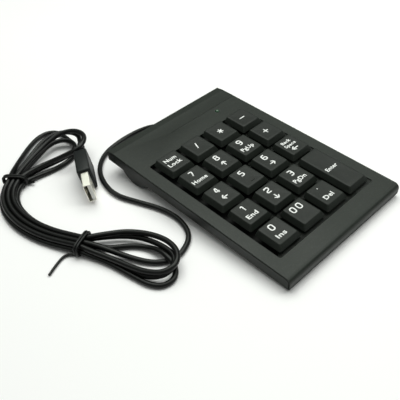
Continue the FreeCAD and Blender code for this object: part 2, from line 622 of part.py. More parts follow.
def build_key(name, column, row, rows=1):
    """A hollow tapered cap with its guided stem and two retaining lugs."""
    x, y = key_centre(column, row)
    middle = FreeCAD.Placement(FreeCAD.Vector(size(x), size(y), 0), FreeCAD.Rotation())
    body = new_body(f"key_{name}", CASE.multiply(middle))
    half_x = "(pitch - key_gap) / 2"
    half_y = f"({rows} * pitch - key_gap) / 2"

    def section(height, side, front, back, radius):
        sketch = add_sketch(body, "XY_Plane", height)
        add_rounded(sketch, f"-({half_x}) + {side}", f"{half_x} - ({side})",
                    f"-({half_y}) + {front}", f"{half_y} - ({back})", radius)
        return sketch

    loft(body, "AdditiveLoft", section(SKIRT, "0", "0", "0", "key_corner"),
         section(KEY_TOP, "taper_side", "taper_front", "taper_back", "key_corner"))
    share = "(key_rise - skirt_rise - key_top_wall) / (key_rise - skirt_rise)"
    loft(body, "SubtractiveLoft", section(SKIRT, "key_wall", "key_wall", "key_wall", "key_inner_corner"),
         section(f"{KEY_TOP} - key_top_wall", f"taper_side * {share} + key_wall",
                 f"taper_front * {share} + key_wall", f"taper_back * {share} + key_wall",
                 "key_inner_corner"))
    stem = circles(body, [("0", "0")], "stem_radius", DOME_TOP)
    pad(body, stem, f"{KEY_TOP} - key_top_wall / 2 - ({DOME_TOP})")
    lugs = add_sketch(body, "XY_Plane", LUG_LOW)
    add_block(lugs, "0", "0", "stem_radius + lug_reach", "lug_width / 2")
    pad(body, lugs, "lug_height")
    if rows > 1:
        posts = circles(body, [("0", "post_offset"), ("0", "-post_offset")], "post_radius", LUG_LOW)
        pad(body, posts, f"{KEY_TOP} - key_top_wall / 2 - ({LUG_LOW})")
    if name == "5":
        bump = add_sketch(body, "XY_Plane", KEY_TOP)
        add_block(bump, "0", f"-({half_y}) + taper_front + key_corner + 0.4", "1.2", "0.25")
        pad(body, bump, "0.25")


def build_dome(name, column, row):
    """A rubber dome with a contact nub, standing on the films."""
    x, y = key_centre(column, row)
    middle = FreeCAD.Placement(FreeCAD.Vector(size(x), size(y), size(FILM_TOP)), FreeCAD.Rotation())
    body = new_body(f"dome_{name}", CASE.multiply(middle))
    profile = add_sketch(body, "XZ_Plane")
    head = "dome_height - dome_head"
    add_polygon(profile, [
        ("dome_body_radius - dome_skin", "0"), ("dome_foot_radius", "0"),
        ("dome_foot_radius", "dome_foot"), ("dome_body_radius", "dome_foot"),
        ("dome_neck_radius", head), ("dome_neck_radius", "dome_height"), ("0", "dome_height"),
        ("0", f"{head} - 2 * dome_skin"), ("dome_skin", f"{head} - 2 * dome_skin"),
        ("dome_skin", f"{head} - dome_skin / 2"), ("dome_neck_radius - dome_skin", f"{head} - dome_skin / 2")])
    turn = body.newObject("PartDesign::Revolution", f"{body.Name}_turned")
    turn.Profile = profile
    turn.ReferenceAxis = (profile, ["V_Axis"])
    turn.Angle = 360
    body.Tip = turn


def film_outline(sketch):
    """Outline shared by the three switch films: the key field and a tail to the board."""
    edge = "2 * pitch - film_margin"
    back = f"{GRID_BACK} - film_margin"
    tail = f"{GRID_BACK} + tail_length"
    half = "tail_width / 2"
    front = f"{GRID_FRONT} + film_margin"
    add_polygon(sketch, [(f"-({edge})", front), (edge, front), (edge, back), (half, back), (half, tail),
                         (f"-({half})", tail), (f"-({half})", back), (f"-({edge})", back)])


def build_films():
    """Lower contact film, spacer with a hole under each dome, upper contact film."""
    for order, label in enumerate(("film_lower", "film_spacer", "film_upper")):
        body = new_body(label)
        outline = add_sketch(body, "XY_Plane", f"floor + {order} * film")
        film_outline(outline)
        pad(body, outline, "film")
        if label == "film_spacer":
            pocket(body, circles(body, key_spots(), "film_hole"), reverse=True)


def build_board():
    """Controller board, its chip and the bar that clamps the film tail under it."""
    board = new_body("controller_board")
    outline = add_sketch(board, "XY_Plane", FILM_TOP)
    add_rectangle(outline, "-board_width / 2", "board_width / 2", BOARD_FRONT, BOARD_BACK)
    pad(board, outline, "board_thickness")
    pocket(board, circles(board, BOARD_SCREWS, "inner_screw_radius + screw_play"), reverse=True)
    chip = new_body("controller_chip")
    package = add_sketch(chip, "XY_Plane", BOARD_TOP)
    add_block(package, "board_width / 8", f"{BOARD_BACK} - board_length / 3", "5.0", "2.6")
    pad(chip, package, "1.2")
    bar = new_body("clamp_bar")
    strip = add_sketch(bar, "XY_Plane", BOARD_TOP)
    add_block(strip, "0", BOARD_SCREW_Y, "bar_length / 2", "bar_width / 2")
    pad(bar, strip, "bar_thickness")
    pocket(bar, circles(bar, BOARD_SCREWS, "inner_screw_radius + screw_play"), reverse=True)


def build_lamp():
    """Lamp that stands on the board and shows through the deck, with a domed end."""
    body = new_body("led_lens")
    stand = circles(body, [("led_x", LED_Y)], "led_radius", BOARD_TOP)
    pad(body, stand, f"case_height + led_proud - ({BOARD_TOP})")
    top = size("case_height") + size("led_proud")
    round_edges(body, "led_radius * 0.9", lambda edge: edge.BoundBox.ZMin > top - 1e-4)


def solid(kind, name, placement, **sizes):
    """A Part primitive with each of its sizes bound to the sheet."""
    shape = doc.addObject(f"Part::{kind}", name)
    for property_name, expression in sizes.items():
        shape.setExpression(property_name, bound(expression))
    shape.Placement = placement
    return shape


def at(x, y, z, frame=CASE, turn=FreeCAD.Rotation()):
    """A place in the case frame, or in another one, from three expressions."""
    return frame.multiply(FreeCAD.Placement(FreeCAD.Vector(size(x), size(y), size(z)), turn))


def combine(kind, name, base, tool):
    """A boolean of two objects."""
    result = doc.addObject(f"Part::{kind}", name)
    result.Base = base
    result.Tool = tool
    return result


def fuse(name, members):
    """One solid out of several that touch."""
    result = doc.addObject("Part::MultiFuse", name)
    result.Shapes = members
    return result


def keep(label, item):
    """Make an object a sub-part."""
    item.Label = label
    subparts.append(item)
    return item


def group(label, members):
    """A sub-part made of several separate solids."""
    whole = doc.addObject("Part::Compound", label)
    whole.Links = members
    return keep(label, whole)


def screw(name, x, y, head_low, shank_end, radius, head_radius, head, upward):
    """A cross-head screw; upward when its head is below."""
    shank_low = f"{head_low} + {head}" if upward else shank_end
    length = f"{shank_end} - ({shank_low})" if upward else f"{head_low} - ({shank_end})"
    top = solid("Cylinder", f"{name}_head", at(x, y, head_low), Radius=head_radius, Height=head)
    shank = solid("Cylinder", f"{name}_shank", at(x, y, shank_low), Radius=radius, Height=length)
    whole = fuse(f"{name}_blank", [top, shank])
    depth = f"{head} / 2"
    recess = f"{head_low} - {depth}" if upward else f"{head_low} + {depth}"
    for index, (long_x, long_y) in enumerate(((1.3, 0.28), (0.28, 1.3))):
        corner = at(f"{x} - {long_x} * {radius}", f"{y} - {long_y} * {radius}", recess)
        slot = solid("Box", f"{name}_slot_{index}", corner, Length=f"{2 * long_x} * {radius}",
                     Width=f"{2 * long_y} * {radius}", Height=head)
        whole = combine("Cut", f"{name}_cut_{index}", whole, slot)
    return whole


def build_screws():
    """Case screws from below; screws of the key guide and the board from above."""
    group("case_screws", [
        screw(f"case_screw_{index}", x, y, "case_head_sunk", f"{PILOT_TOP} - screw_play",
              "case_screw_radius", "case_head_radius", "case_head", True)
        for index, (x, y) in enumerate(CASE_SCREWS)])
    seats = [(x, y, PLATE_TOP) for x, y in PLATE_SCREWS] + [(x, y, BAR_TOP) for x, y in BOARD_SCREWS]
    group("inner_screws", [
        screw(f"inner_screw_{index}", x, y, seat, f"{seat} - inner_screw_length",
              "inner_screw_radius", "inner_head_radius", "inner_head", False)
        for index, (x, y, seat) in enumerate(seats)])


def build_feet():
    """Front feet and rubber strips under the hump, each cut off flat where it meets the table."""
    table = solid("Box", "table", FreeCAD.Placement(FreeCAD.Vector(-200, -200, -20), FreeCAD.Rotation()))
    table.Length, table.Width, table.Height = 400, 400, 20
    feet = []
    for side in ("foot_x", "-foot_x"):
        blank = solid("Cylinder", f"foot_blank_{len(feet)}", at(side, FOOT_Y, "foot_sunk - 4"),
                      Radius="foot_radius", Height="4")
        feet.append(combine("Cut", f"foot_{len(feet)}", blank, table))
    group("front_feet", feet)
    strips = []
    for side in ("pad_x", "-pad_x"):
        corner = at(f"{side} - pad_length / 2", f"{PAD_Y} - pad_width / 2", f"{PAD_CEILING} - 3")
        blank = solid("Box", f"strip_blank_{len(strips)}", corner,
                      Length="pad_length", Width="pad_width", Height="3")
        strips.append(combine("Cut", f"strip_{len(strips)}", blank, table))
    group("rear_strips", strips)


def fused(shapes):
    """One clean shape out of several."""
    return shapes[0].fuse(shapes[1:]).removeSplitter()


def rod(start, end, radius):
    """A straight round rod between two points."""
    line = end - start
    return Part.makeCylinder(radius, line.Length, start, line)


def feature(label, shape, placement=FreeCAD.Placement()):
    """A sub-part whose shape Part's own functions made."""
    item = doc.addObject("Part::Feature", label)
    item.Shape = shape
    item.Placement = placement
    return keep(label, item)


def rounded_path(points):
    """Straight runs joined by arcs that each take 0.45 of the shorter run beside them."""
    edges = []
    last = points[0]
    radii = []
    for before, corner, after in zip(points, points[1:], points[2:]):
        inward, outward = corner - before, after - corner
        turn = inward.getAngle(outward)
        reach = 0.45 * min(inward.Length, outward.Length)
        radii.append(reach / math.tan(turn / 2))
        inward.normalize()
        outward.normalize()
        start, end = corner - inward * reach, corner + outward * reach
        middle = (outward - inward).normalize()
        crown = corner + middle * (radii[-1] / math.cos(turn / 2) - radii[-1])
        edges.append(Part.LineSegment(last, start).toShape())
        edges.append(Part.Arc(start, crown, end).toShape())
        last = end
    edges.append(Part.LineSegment(last, points[-1]).toShape())
    return Part.Wire(edges), radii


def tube(path, radius, direction):
    """A round tube along a path that sets out in a direction."""
    start = path.OrderedVertexes[0].Point
    section = Part.Wire(Part.makeCircle(radius, start, direction))
    return path.makePipeShell([section], True, False)


def build_strain_relief():
    """Moulded relief in the back of the hump: flange inside, neck in the wall, tapered boot outside."""
    radius = size("gland_flange_radius")
    hollow = size(HUMP_RADIUS) - size("hump_wall")
    depth = size(HUMP_Z) + size("gland_drop") + radius
    flange_back = size(HUMP_Y) + math.sqrt(hollow ** 2 - depth ** 2) - 2 * size("gland_play")
    flange_front = flange_back - size("gland_flange")
    back = FreeCAD.Vector(0, 1, 0)
    x, z = size("gland_x"), -size("gland_drop")

    def ring(outer, start, length):
        return Part.makeCylinder(outer, length, FreeCAD.Vector(x, start, z), back)

    root, end = size(BOOT_ROOT), size(BOOT_END)
    boot = Part.makeCone(size("gland_radius"), size("cord_radius") + size("boot_wall"), end - root,
                         FreeCAD.Vector(x, root, z), back)
    body = fused([ring(radius, flange_front, flange_back - flange_front),
                  ring(size("gland_radius"), flange_back, root - flange_back), boot])
    bore = ring(size("cord_radius"), flange_front - 1, end - flange_front + 2)
    feature("strain_relief", body.cut(bore), CASE)
    build_inner_lead(flange_front - 1.0)


def build_inner_lead(front):
    """The lead inside the relief, and its four wires up to the board."""
    x, z = size("gland_x"), -size("gland_drop")
    pieces = [rod(FreeCAD.Vector(x, front, z), FreeCAD.Vector(x, size(BOOT_END), z), size("cord_radius"))]
    radius = size("wire_radius")
    run = size(FILM_TOP) - 3 * size("film") - 2 * radius
    solder = size(GRID_BACK) + size("tail_length") + 4 * radius
    for index in range(4):
        spread = x + (index - 1.5) * 2.4 * radius
        stops = [(front, z), (front - 1.0, z), (front - 1.0, run), (solder, run), (solder, size(FILM_TOP))]
        path = rounded_path([FreeCAD.Vector(spread, y, height) for y, height in stops])[0]
        pieces.append(tube(path, radius, FreeCAD.Vector(0, -1, 0)))
    feature("inner_lead", pieces[0].fuse(pieces[1:]), CASE)


def build_lead():
    """The lead from its boot, down behind the case and along its left side, to the hank."""
    start = CASE.multVec(FreeCAD.Vector(size("gland_x"), size(BOOT_END), -size("gland_drop")))
    route = [(x, start.y + behind, z) for x, behind, z in LEAD_EXIT] + LEAD_ROUTE
    path, radii = rounded_path([start] + [FreeCAD.Vector(*point) for point in route])
    lead = tube(path, size("cord_radius"), CASE.Rotation.multVec(FreeCAD.Vector(0, 1, 0)))
    expected = math.pi * size("cord_radius") ** 2 * path.Length
    print(f"lead: length {path.Length:.1f} mm, volume ratio {lead.Volume / expected:.4f}")
    print("lead bend radii, mm:", [round(radius, 1) for radius in radii])
    feature("cord_lead", lead)


def build_hank():
    """Outer shape of the tied hank, and the two ties round it."""
    outline = Part.BSplineCurve()
    outline.interpolate([FreeCAD.Vector(x, y, 0) for x, y in HANK_OUTLINE], PeriodicFlag=True)
    height = size("hank_height")
    block = Part.Face(Part.Wire(outline.toShape())).extrude(FreeCAD.Vector(0, 0, height))
    rims = [edge for edge in block.Edges if edge.BoundBox.ZLength < 1e-4]
    feature("cord_hank", block.makeFillet(size("cord_radius"), rims))
    ties = []
    for x, y, direction, width in HANK_TIES:
        along = size("tie_width")
        outer = Part.makeBox(along, width + 2, height + 1, FreeCAD.Vector(-along / 2, -width / 2 - 1, 0))
        outer = outer.makeFillet(size("cord_radius"), [
            edge for edge in outer.Edges if edge.BoundBox.XLength > along / 2])
        hole = Part.makeBox(2 * along, width, height - 1, FreeCAD.Vector(-along, -width / 2, 1))
        band = outer.cut(hole)
        turn = FreeCAD.Rotation(FreeCAD.Vector(0, 0, 1), direction)
        band.Placement = FreeCAD.Placement(FreeCAD.Vector(x, y, 0), turn)
        ties.append(band)
    points = [FreeCAD.Vector(*point) for point in TIE_TAIL]
    tail = tube(rounded_path(points)[0], size("tie_tail_radius"), points[1] - points[0])
    feature("hank_ties", Part.makeCompound([ties[0].fuse(tail), ties[1]]))


def plug_placement():
    """The plug lies on its narrow side and leans: its axis is local X, its width local Z."""
    lean = math.radians(size("plug_lean"))
    round_off = size("plug_round")
    height = ((size("plug_width") / 2 - round_off) * math.cos(lean)
              + (size("plug_thickness") / 2 - round_off) * math.sin(lean) + round_off)
    place = FreeCAD.Vector(size("plug_x"), size("plug_y"), height)
    yaw = FreeCAD.Rotation(FreeCAD.Vector(0, 0, 1), size("plug_yaw"))
    roll = FreeCAD.Rotation(FreeCAD.Vector(1, 0, 0), -size("plug_lean"))
    return FreeCAD.Placement(place, yaw.multiply(roll))


def build_plug():
    """Moulded grip with its neck, metal shell open at the mouth, and the tongue inside it."""
    place = plug_placement()
    body = new_body("usb_grip", place)
    mouth_end = add_sketch(body, "YZ_Plane", "-plug_length")
    add_block(mouth_end, "0", "0", "plug_thickness / 2", "plug_width / 2")
    pad(body, mouth_end, "plug_length")
    round_edges(body, "plug_round", lambda edge: edge.BoundBox.XLength > 1)
    neck = body.newObject("PartDesign::AdditiveCone", "usb_neck")
    neck.setExpression("Radius1", bound("neck_radius"))
    neck.setExpression("Radius2", bound("neck_end_radius"))
    neck.setExpression("Height", bound("neck_length"))
    neck.AttachmentSupport = [
        (next(item for item in body.Origin.OriginFeatures if item.Role == "YZ_Plane"), "")]
    neck.MapMode = "FlatFace"
    body.Tip = neck
    doc.recompute()

    shell = new_body("usb_shell", place)
    outline = add_sketch(shell, "YZ_Plane", "-plug_length")
    add_block(outline, "0", "0", "shell_thickness / 2", "shell_width / 2")
    pad(shell, outline, "shell_length", reverse=True)
    round_edges(shell, "shell_wall * 1.5", lambda edge: edge.BoundBox.XLength > 1)
    hollow = add_sketch(shell, "YZ_Plane", "-plug_length")
    add_block(hollow, "0", "0", "shell_thickness / 2 - shell_wall", "shell_width / 2 - shell_wall")
    pocket(shell, hollow)
    windows = add_sketch(shell, "XZ_Plane")
    for side in ("latch_x", "-latch_x"):
        add_block(windows, "-plug_length - shell_length + latch_in", side, "latch_size / 2", "latch_size / 2")
    pocket(shell, windows, "shell_thickness", both_ways=True)

    tongue = new_body("usb_tongue", place)
    bar = add_sketch(tongue, "YZ_Plane", "-plug_length")
    low = "-shell_thickness / 2 + shell_wall"
    half = "shell_width / 2 - shell_wall"
    add_rectangle(bar, low, f"{low} + tongue_thickness", f"-({half})", half)
    pad(tongue, bar, "shell_length - tongue_short", reverse=True)


def check_and_write():
    """Refuse any failed object, then write one STEP file for each sub-part."""
    doc.recompute()
    for item in doc.Objects:
        if "Invalid" in item.State or "Error" in item.State:
            raise RuntimeError(f"{item.Label} failed: {item.State}")
    os.makedirs("parts", exist_ok=True)
    for item in subparts:
        shape = item.Shape
        if shape.isNull() or not shape.isValid() or min([s.Volume for s in shape.Solids], default=0) <= 0:
            raise RuntimeError(f"{item.Label} has no valid shape")
        shape.exportStep(f"parts/{item.Label}.step")
    print(f"{len(subparts)} sub-parts written")


build_top_cover()
build_bottom_cover()
build_key_guide()
for key_name, key_column, key_row in KEYS:
    build_key(key_name, key_column, key_row)
    build_dome(key_name, key_column, key_row)
build_key(*TALL_KEY, rows=2)
build_dome(*TALL_KEY)
build_films()
build_board()
build_lamp()
build_screws()
build_feet()
build_strain_relief()
build_lead()
build_hank()
build_plug()
check_and_write()
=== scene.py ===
import json
import math

import bmesh
import bpy
from mathutils import Matrix, Vector
from mathutils.bvhtree import BVHTree


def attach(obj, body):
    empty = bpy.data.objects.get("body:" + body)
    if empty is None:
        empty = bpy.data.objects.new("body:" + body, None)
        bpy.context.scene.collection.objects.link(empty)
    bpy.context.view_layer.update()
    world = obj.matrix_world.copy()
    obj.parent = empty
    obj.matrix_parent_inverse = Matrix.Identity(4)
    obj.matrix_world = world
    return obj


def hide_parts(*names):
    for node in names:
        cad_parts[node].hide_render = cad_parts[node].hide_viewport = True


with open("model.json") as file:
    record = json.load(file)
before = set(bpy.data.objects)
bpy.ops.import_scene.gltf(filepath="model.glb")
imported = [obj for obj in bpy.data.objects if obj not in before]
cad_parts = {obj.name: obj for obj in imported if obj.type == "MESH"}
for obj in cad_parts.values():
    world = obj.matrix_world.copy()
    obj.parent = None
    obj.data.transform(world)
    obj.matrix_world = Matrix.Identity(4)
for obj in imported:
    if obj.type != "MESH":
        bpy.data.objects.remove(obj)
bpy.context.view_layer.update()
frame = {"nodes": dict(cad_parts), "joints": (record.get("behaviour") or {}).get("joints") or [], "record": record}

bl_info = {
    "name": "Numeric keypad",
    "version": (1, 0, 0),
    "blender": (4, 5, 0),
    "location": "3D View > Sidebar > Keypad",
    "description": "Case, sprung keys, lamp, tied USB lead and stage of a slim numeric keypad",
    "category": "Object",
}

MM = 0.001
BODY = "case"
PRESS = Vector(frame["joints"][0]["axis"]).normalized()
TILT = Matrix.Rotation(math.atan2(PRESS.y, -PRESS.z), 4, "X")
LEVEL = TILT.inverted()


def flat_box(node):
    """Lowest and highest corner of a CAD node once the tilt of the case is taken out, in metres."""
    points = [LEVEL @ vertex.co for vertex in frame["nodes"][node].data.vertices]
    lowest = Vector([min(point[axis] for point in points) for axis in range(3)])
    highest = Vector([max(point[axis] for point in points) for axis in range(3)])
    return lowest, highest


KEY_TOP = flat_box("key_7")[1].z
DECK_TOP = flat_box("top_cover")[1].z
KEY_HEIGHT = 3.25 * MM
CAP_SIDE, CAP_FRONT, CAP_BACK = 1.6 * MM, 1.75 * MM, 0.5 * MM
CAP_WALL, CAP_ROOF = 1.1 * MM, 1.3 * MM
SHARP_ANGLE = math.radians(32)
GRIP_LENGTH, GRIP_HALF_THICK, GRIP_HALF_WIDE = 21.0, 4.0, 7.75
SHELL_LENGTH = 12.0
PLUG_LEAN = math.radians(-8.0)
CAPITAL_HEIGHT = 0.729
INK_LIFT, INK_THICKNESS = 0.03 * MM, 0.1 * MM

# ---------------------------------------------------------------------------------------------
# The lead, in millimetres: from the boot down to the table, along the left side, into the hank.

LEAD_ROUTE = [
    (0.0, 74.2, 6.7), (-4.0, 82.2, 4.3), (-13.0, 87.4, 1.9), (-25.5, 87.6, 1.5), (-39.0, 84.6, 1.5),
    (-50.4, 75.5, 1.5), (-57.0, 62.0, 1.5), (-59.0, 47.5, 1.5), (-53.6, 32.8, 1.5),
    (-48.4, 18.6, 1.5), (-47.6, 4.2, 1.5), (-52.6, -8.2, 1.5), (-64.5, -13.8, 1.5),
]
INTO_HANK = [
    (-71.5, -12.7, 1.5), (-76.5, -9.3, 1.5), (-80.3, -4.3, 1.7), (-84.2, 3.6, 2.2), (-88.0, 12.5, 3.4),
    (-91.6, 20.4, 4.8),
]
# Middle of the bundle from the front tie to the back tie.
SPINE = [
    (-95.5, 28.0), (-98.8, 36.0), (-103.0, 46.0), (-106.4, 57.5), (-107.9, 70.4), (-106.4, 84.0),
    (-101.0, 94.8), (-92.5, 101.2),
]
TIE_LIFT = [1.3, 0.6, 0.1, 0.0, 0.0, 0.1, 0.6, 1.3]
# Place of each pass in the bundle: outwards from the middle, and up.
PASSES = [(0.0, 4.1), (-3.0, 4.1), (3.0, 4.1), (-4.5, 1.5), (1.5, 1.5), (-1.5, 1.5), (4.5, 1.5)]
BACK_LOOPS = [
    [(-86.5, 104.5, 5.6), (-80.0, 108.0, 5.8), (-73.7, 110.6, 6.4), (-66.5, 112.4, 7.4),
     (-59.5, 113.3, 8.8), (-52.5, 112.6, 10.6), (-46.8, 109.2, 11.8), (-43.2, 103.5, 12.4),
     (-43.4, 96.6, 12.8), (-47.6, 90.6, 12.9), (-54.8, 88.4, 12.0), (-61.4, 92.8, 9.0),
     (-67.6, 97.2, 6.4), (-74.0, 99.8, 5.3), (-80.5, 100.6, 5.1), (-86.5, 100.2, 5.3)],
    [(-90.5, 108.0, 4.8), (-85.5, 113.0, 3.6), (-79.5, 118.5, 2.4), (-72.5, 124.0, 1.8),
     (-65.0, 129.0, 1.5), (-57.5, 132.3, 1.5), (-50.3, 132.4, 1.5), (-45.6, 127.6, 1.5),
     (-45.2, 120.5, 1.5), (-45.4, 114.0, 1.5), (-46.0, 107.5, 1.5), (-48.8, 101.0, 1.5),
     (-55.0, 96.6, 1.5), (-63.5, 95.2, 1.5), (-72.0, 95.7, 1.5), (-80.8, 97.3, 2.0)],
    [(-87.5, 103.6, 2.9), (-81.0, 107.3, 2.8), (-74.5, 110.2, 3.0), (-68.0, 112.9, 3.5),
     (-60.5, 115.6, 4.2), (-52.8, 115.4, 4.6), (-47.7, 110.3, 4.6), (-47.6, 103.0, 4.5),
     (-52.0, 98.2, 4.4), (-58.6, 97.2, 4.3), (-65.5, 98.9, 3.4), (-73.0, 101.4, 2.4),
     (-80.0, 101.9, 2.3), (-86.5, 101.0, 2.6)],
]
FRONT_LOOPS = [
    [(-88.2, 25.6, 5.9), (-82.2, 21.4, 5.9), (-75.8, 16.4, 5.9), (-70.8, 9.3, 6.2), (-67.4, 1.5, 6.7),
     (-66.0, -6.8, 7.2), (-67.6, -15.2, 7.6), (-73.6, -21.4, 7.6), (-81.6, -20.6, 7.0),
     (-86.6, -12.6, 5.6), (-89.2, -3.4, 4.8), (-91.2, 4.8, 4.6), (-93.8, 13.0, 4.7),
     (-96.8, 21.5, 5.1)],
    [(-87.6, 26.5, 3.2), (-83.0, 22.6, 3.2), (-77.5, 17.6, 3.1), (-72.6, 11.0, 3.2),
     (-69.6, 2.6, 3.6), (-68.5, -6.0, 4.2), (-68.9, -13.8, 4.6), (-74.0, -19.6, 4.6),
     (-81.4, -19.6, 3.8), (-86.6, -13.6, 2.6), (-88.4, -5.6, 1.8), (-89.6, 2.4, 1.5),
     (-91.2, 10.0, 1.6), (-94.0, 18.5, 2.2)],
    [(-91.2, 22.8, 2.0), (-87.0, 17.2, 1.5), (-81.5, 12.8, 1.5), (-76.4, 8.0, 1.5), (-72.9, 1.8, 1.9),
     (-71.7, -4.6, 3.6), (-71.7, -11.4, 4.4), (-72.4, -18.4, 2.4), (-77.6, -23.6, 1.5),
     (-84.8, -22.8, 1.5), (-88.9, -16.6, 1.5), (-90.4, -8.6, 1.5), (-91.9, 0.0, 1.5),
     (-93.4, 8.4, 1.5), (-95.6, 15.4, 1.7), (-98.2, 22.0, 2.3)],
]
INTO_PLUG = [
    (-91.5, 107.3, 1.8), (-86.5, 109.4, 1.9), (-80.5, 111.9, 2.8), (-74.4, 114.3, 4.2),
    (-68.0, 117.2, 5.2), (-61.8, 119.6, 6.0), (-54.2, 120.2, 6.8), (-47.6, 117.2, 7.5),
    (-43.6, 111.4, 8.0), (-42.9, 105.2, 8.2), (-44.8, 101.0, 8.1),
]
NECK_LENGTH = 16.0
TIE_TAIL = [(-100.6, 25.0, 1.0), (-104.0, 30.6, 1.2), (-109.5, 30.2, 0.9), (-118.6, 25.6, 0.8)]


def station(index):
    """Place, direction and outward side of the bundle at a point of its spine."""
    here = Vector(SPINE[index])
    before, after = Vector(SPINE[max(index - 1, 0)]), Vector(SPINE[min(index + 1, len(SPINE) - 1)])
    along = (after - before).normalized()
    return here, along, Vector((-along.y, along.x))


def bundle_point(index, place):
    """Where a pass goes through a station of the bundle, in millimetres."""
    outward, height = place
    here, _, side = station(index)
    middle = (len(SPINE) - 1) / 2
    looseness = 0.96 + 0.08 * (1 - abs(index - middle) / middle)
    spot = here + side * outward * looseness
    return spot.x, spot.y, height + TIE_LIFT[index]


def plug_matrix():
    """Frame of the plug: origin at the back of the grip, +X to the lead, +Z up its leaning side."""
    mount = next(item for item in frame["record"]["mounts"] if item["name"] == "usb_plug")
    mouth, out = Vector(mount["pos_m"]), Vector(mount["axis"]).normalized()
    grip, shell = GRIP_LENGTH * MM, SHELL_LENGTH * MM
    along = -out
    across = Vector((0, 0, 1)).cross(along).normalized()
    turn = Matrix((along, across, along.cross(across))).transposed().to_4x4()
    lean = Matrix.Rotation(PLUG_LEAN, 4, "X")
    return Matrix.Translation(mouth + along * (grip + shell)) @ turn @ lean


PLUG = plug_matrix()


def boot_end():
    """Middle of the strain relief's outer end, where the lead comes out, in metres."""
    low, high = flat_box("strain_relief")
    middle = (low + high) / 2
    return TILT @ Vector((middle.x, high.y, middle.z))


def lead_points():
    """Control points of the whole lead in metres, from the boot through seven passes to the plug."""
    points = LEAD_ROUTE + INTO_HANK
    stations = range(len(SPINE))
    for number, place in enumerate(PASSES):
        order = stations if number % 2 == 0 else reversed(stations)
        points = points + [bundle_point(index, place) for index in order]
        if number == len(PASSES) - 1:
            points = points + INTO_PLUG
        elif number % 2 == 0:
            points = points + BACK_LOOPS[number // 2]
        else:
            points = points + FRONT_LOOPS[number // 2]
    neck_end = PLUG @ Vector((NECK_LENGTH * MM, 0, 0))
    return [boot_end()] + [Vector(point) * MM for point in points] + [neck_end]


# ---------------------------------------------------------------------------------------------
# Shader node groups and materials.

def new_group(name, inputs, outputs):
    """An empty shader group with float sockets."""
    group = bpy.data.node_groups.new(name, "ShaderNodeTree")
    for label, default in inputs:
        socket = group.interface.new_socket(label, in_out="INPUT", socket_type="NodeSocketFloat")
        socket.default_value = default
    for label in outputs:
        group.interface.new_socket(label, in_out="OUTPUT", socket_type="NodeSocketFloat")
    return group, group.nodes.new("NodeGroupInput"), group.nodes.new("NodeGroupOutput")


def add_node(tree, kind, **values):
    """A node with its properties and unlinked inputs set."""
    node = tree.nodes.new(kind)
    for name, value in values.items():
        if hasattr(node, name):
            setattr(node, name, value)
        else:
            node.inputs[name.replace("_", " ")].default_value = value
    return node


def scaled_noise(tree, coordinates, scale, detail, roughness):
    """Noise on the given coordinates; scale is a number or a socket."""
    noise = add_node(tree, "ShaderNodeTexNoise", Detail=detail, Roughness=roughness)
    tree.links.new(coordinates, noise.inputs["Vector"])
    if isinstance(scale, (int, float)):
        noise.inputs["Scale"].default_value = scale
    else:
        tree.links.new(scale, noise.inputs["Scale"])
    return noise.outputs["Fac"]


def map_range(tree, value, low, high, to_low, to_high):
    """A clamped linear map of a socket."""
    node = add_node(tree, "ShaderNodeMapRange")
    for index, number in enumerate((low, high, to_low, to_high), start=1):
        node.inputs[index].default_value = number
    tree.links.new(value, node.inputs[0])
    return node.outputs[0]


def multiply(tree, first, second):
    """The product of two sockets."""
    node = add_node(tree, "ShaderNodeMath", operation="MULTIPLY")
    tree.links.new(first, node.inputs[0])
    tree.links.new(second, node.inputs[1])
    return node.outputs[0]


def moulded_grain():
    """Fine spark-eroded grain, and broad patches of handling on it."""
    group, given, result = new_group(
        "moulded_grain", [("Grain Scale", 2600.0), ("Patch Scale", 45.0)], ["Grain", "Patch"])
    place = add_node(group, "ShaderNodeTexCoord").outputs["Object"]
    fine = scaled_noise(group, place, given.outputs["Grain Scale"], 3.0, 0.6)
    broad = scaled_noise(group, place, given.outputs["Patch Scale"], 4.0, 0.55)
    group.links.new(fine, result.inputs["Grain"])
    group.links.new(map_range(group, broad, 0.35, 0.65, 0.0, 1.0), result.inputs["Patch"])
    return group


def edge_wear():
    """Mask of the edges that hands and tables polish, broken up by noise."""
    group, given, result = new_group("edge_wear", [("Amount", 0.5), ("Break Scale", 400.0)], ["Edge"])
    geometry = add_node(group, "ShaderNodeNewGeometry")
    place = add_node(group, "ShaderNodeTexCoord").outputs["Object"]
    edge = map_range(group, geometry.outputs["Pointiness"], 0.505, 0.56, 0.0, 1.0)
    broken = map_range(group, scaled_noise(group, place, given.outputs["Break Scale"], 2.0, 0.5),
                       0.3, 0.7, 0.35, 1.0)
    mask = multiply(group, multiply(group, edge, broken), given.outputs["Amount"])
    group.links.new(mask, result.inputs["Edge"])
    return group


def settled_dust():
    """Mask of a little dust on faces that look up."""
    group, given, result = new_group("settled_dust", [("Amount", 0.2)], ["Dust"])
    split = add_node(group, "ShaderNodeSeparateXYZ")
    geometry = add_node(group, "ShaderNodeNewGeometry")
    place = add_node(group, "ShaderNodeTexCoord").outputs["Object"]
    group.links.new(geometry.outputs["Normal"], split.inputs[0])
    upward = map_range(group, split.outputs["Z"], 0.6, 1.0, 0.0, 1.0)
    speck = map_range(group, scaled_noise(group, place, 900.0, 5.0, 0.7), 0.52, 0.8, 0.0, 1.0)
    group.links.new(multiply(group, multiply(group, upward, speck), given.outputs["Amount"]),
                    result.inputs["Dust"])
    return group


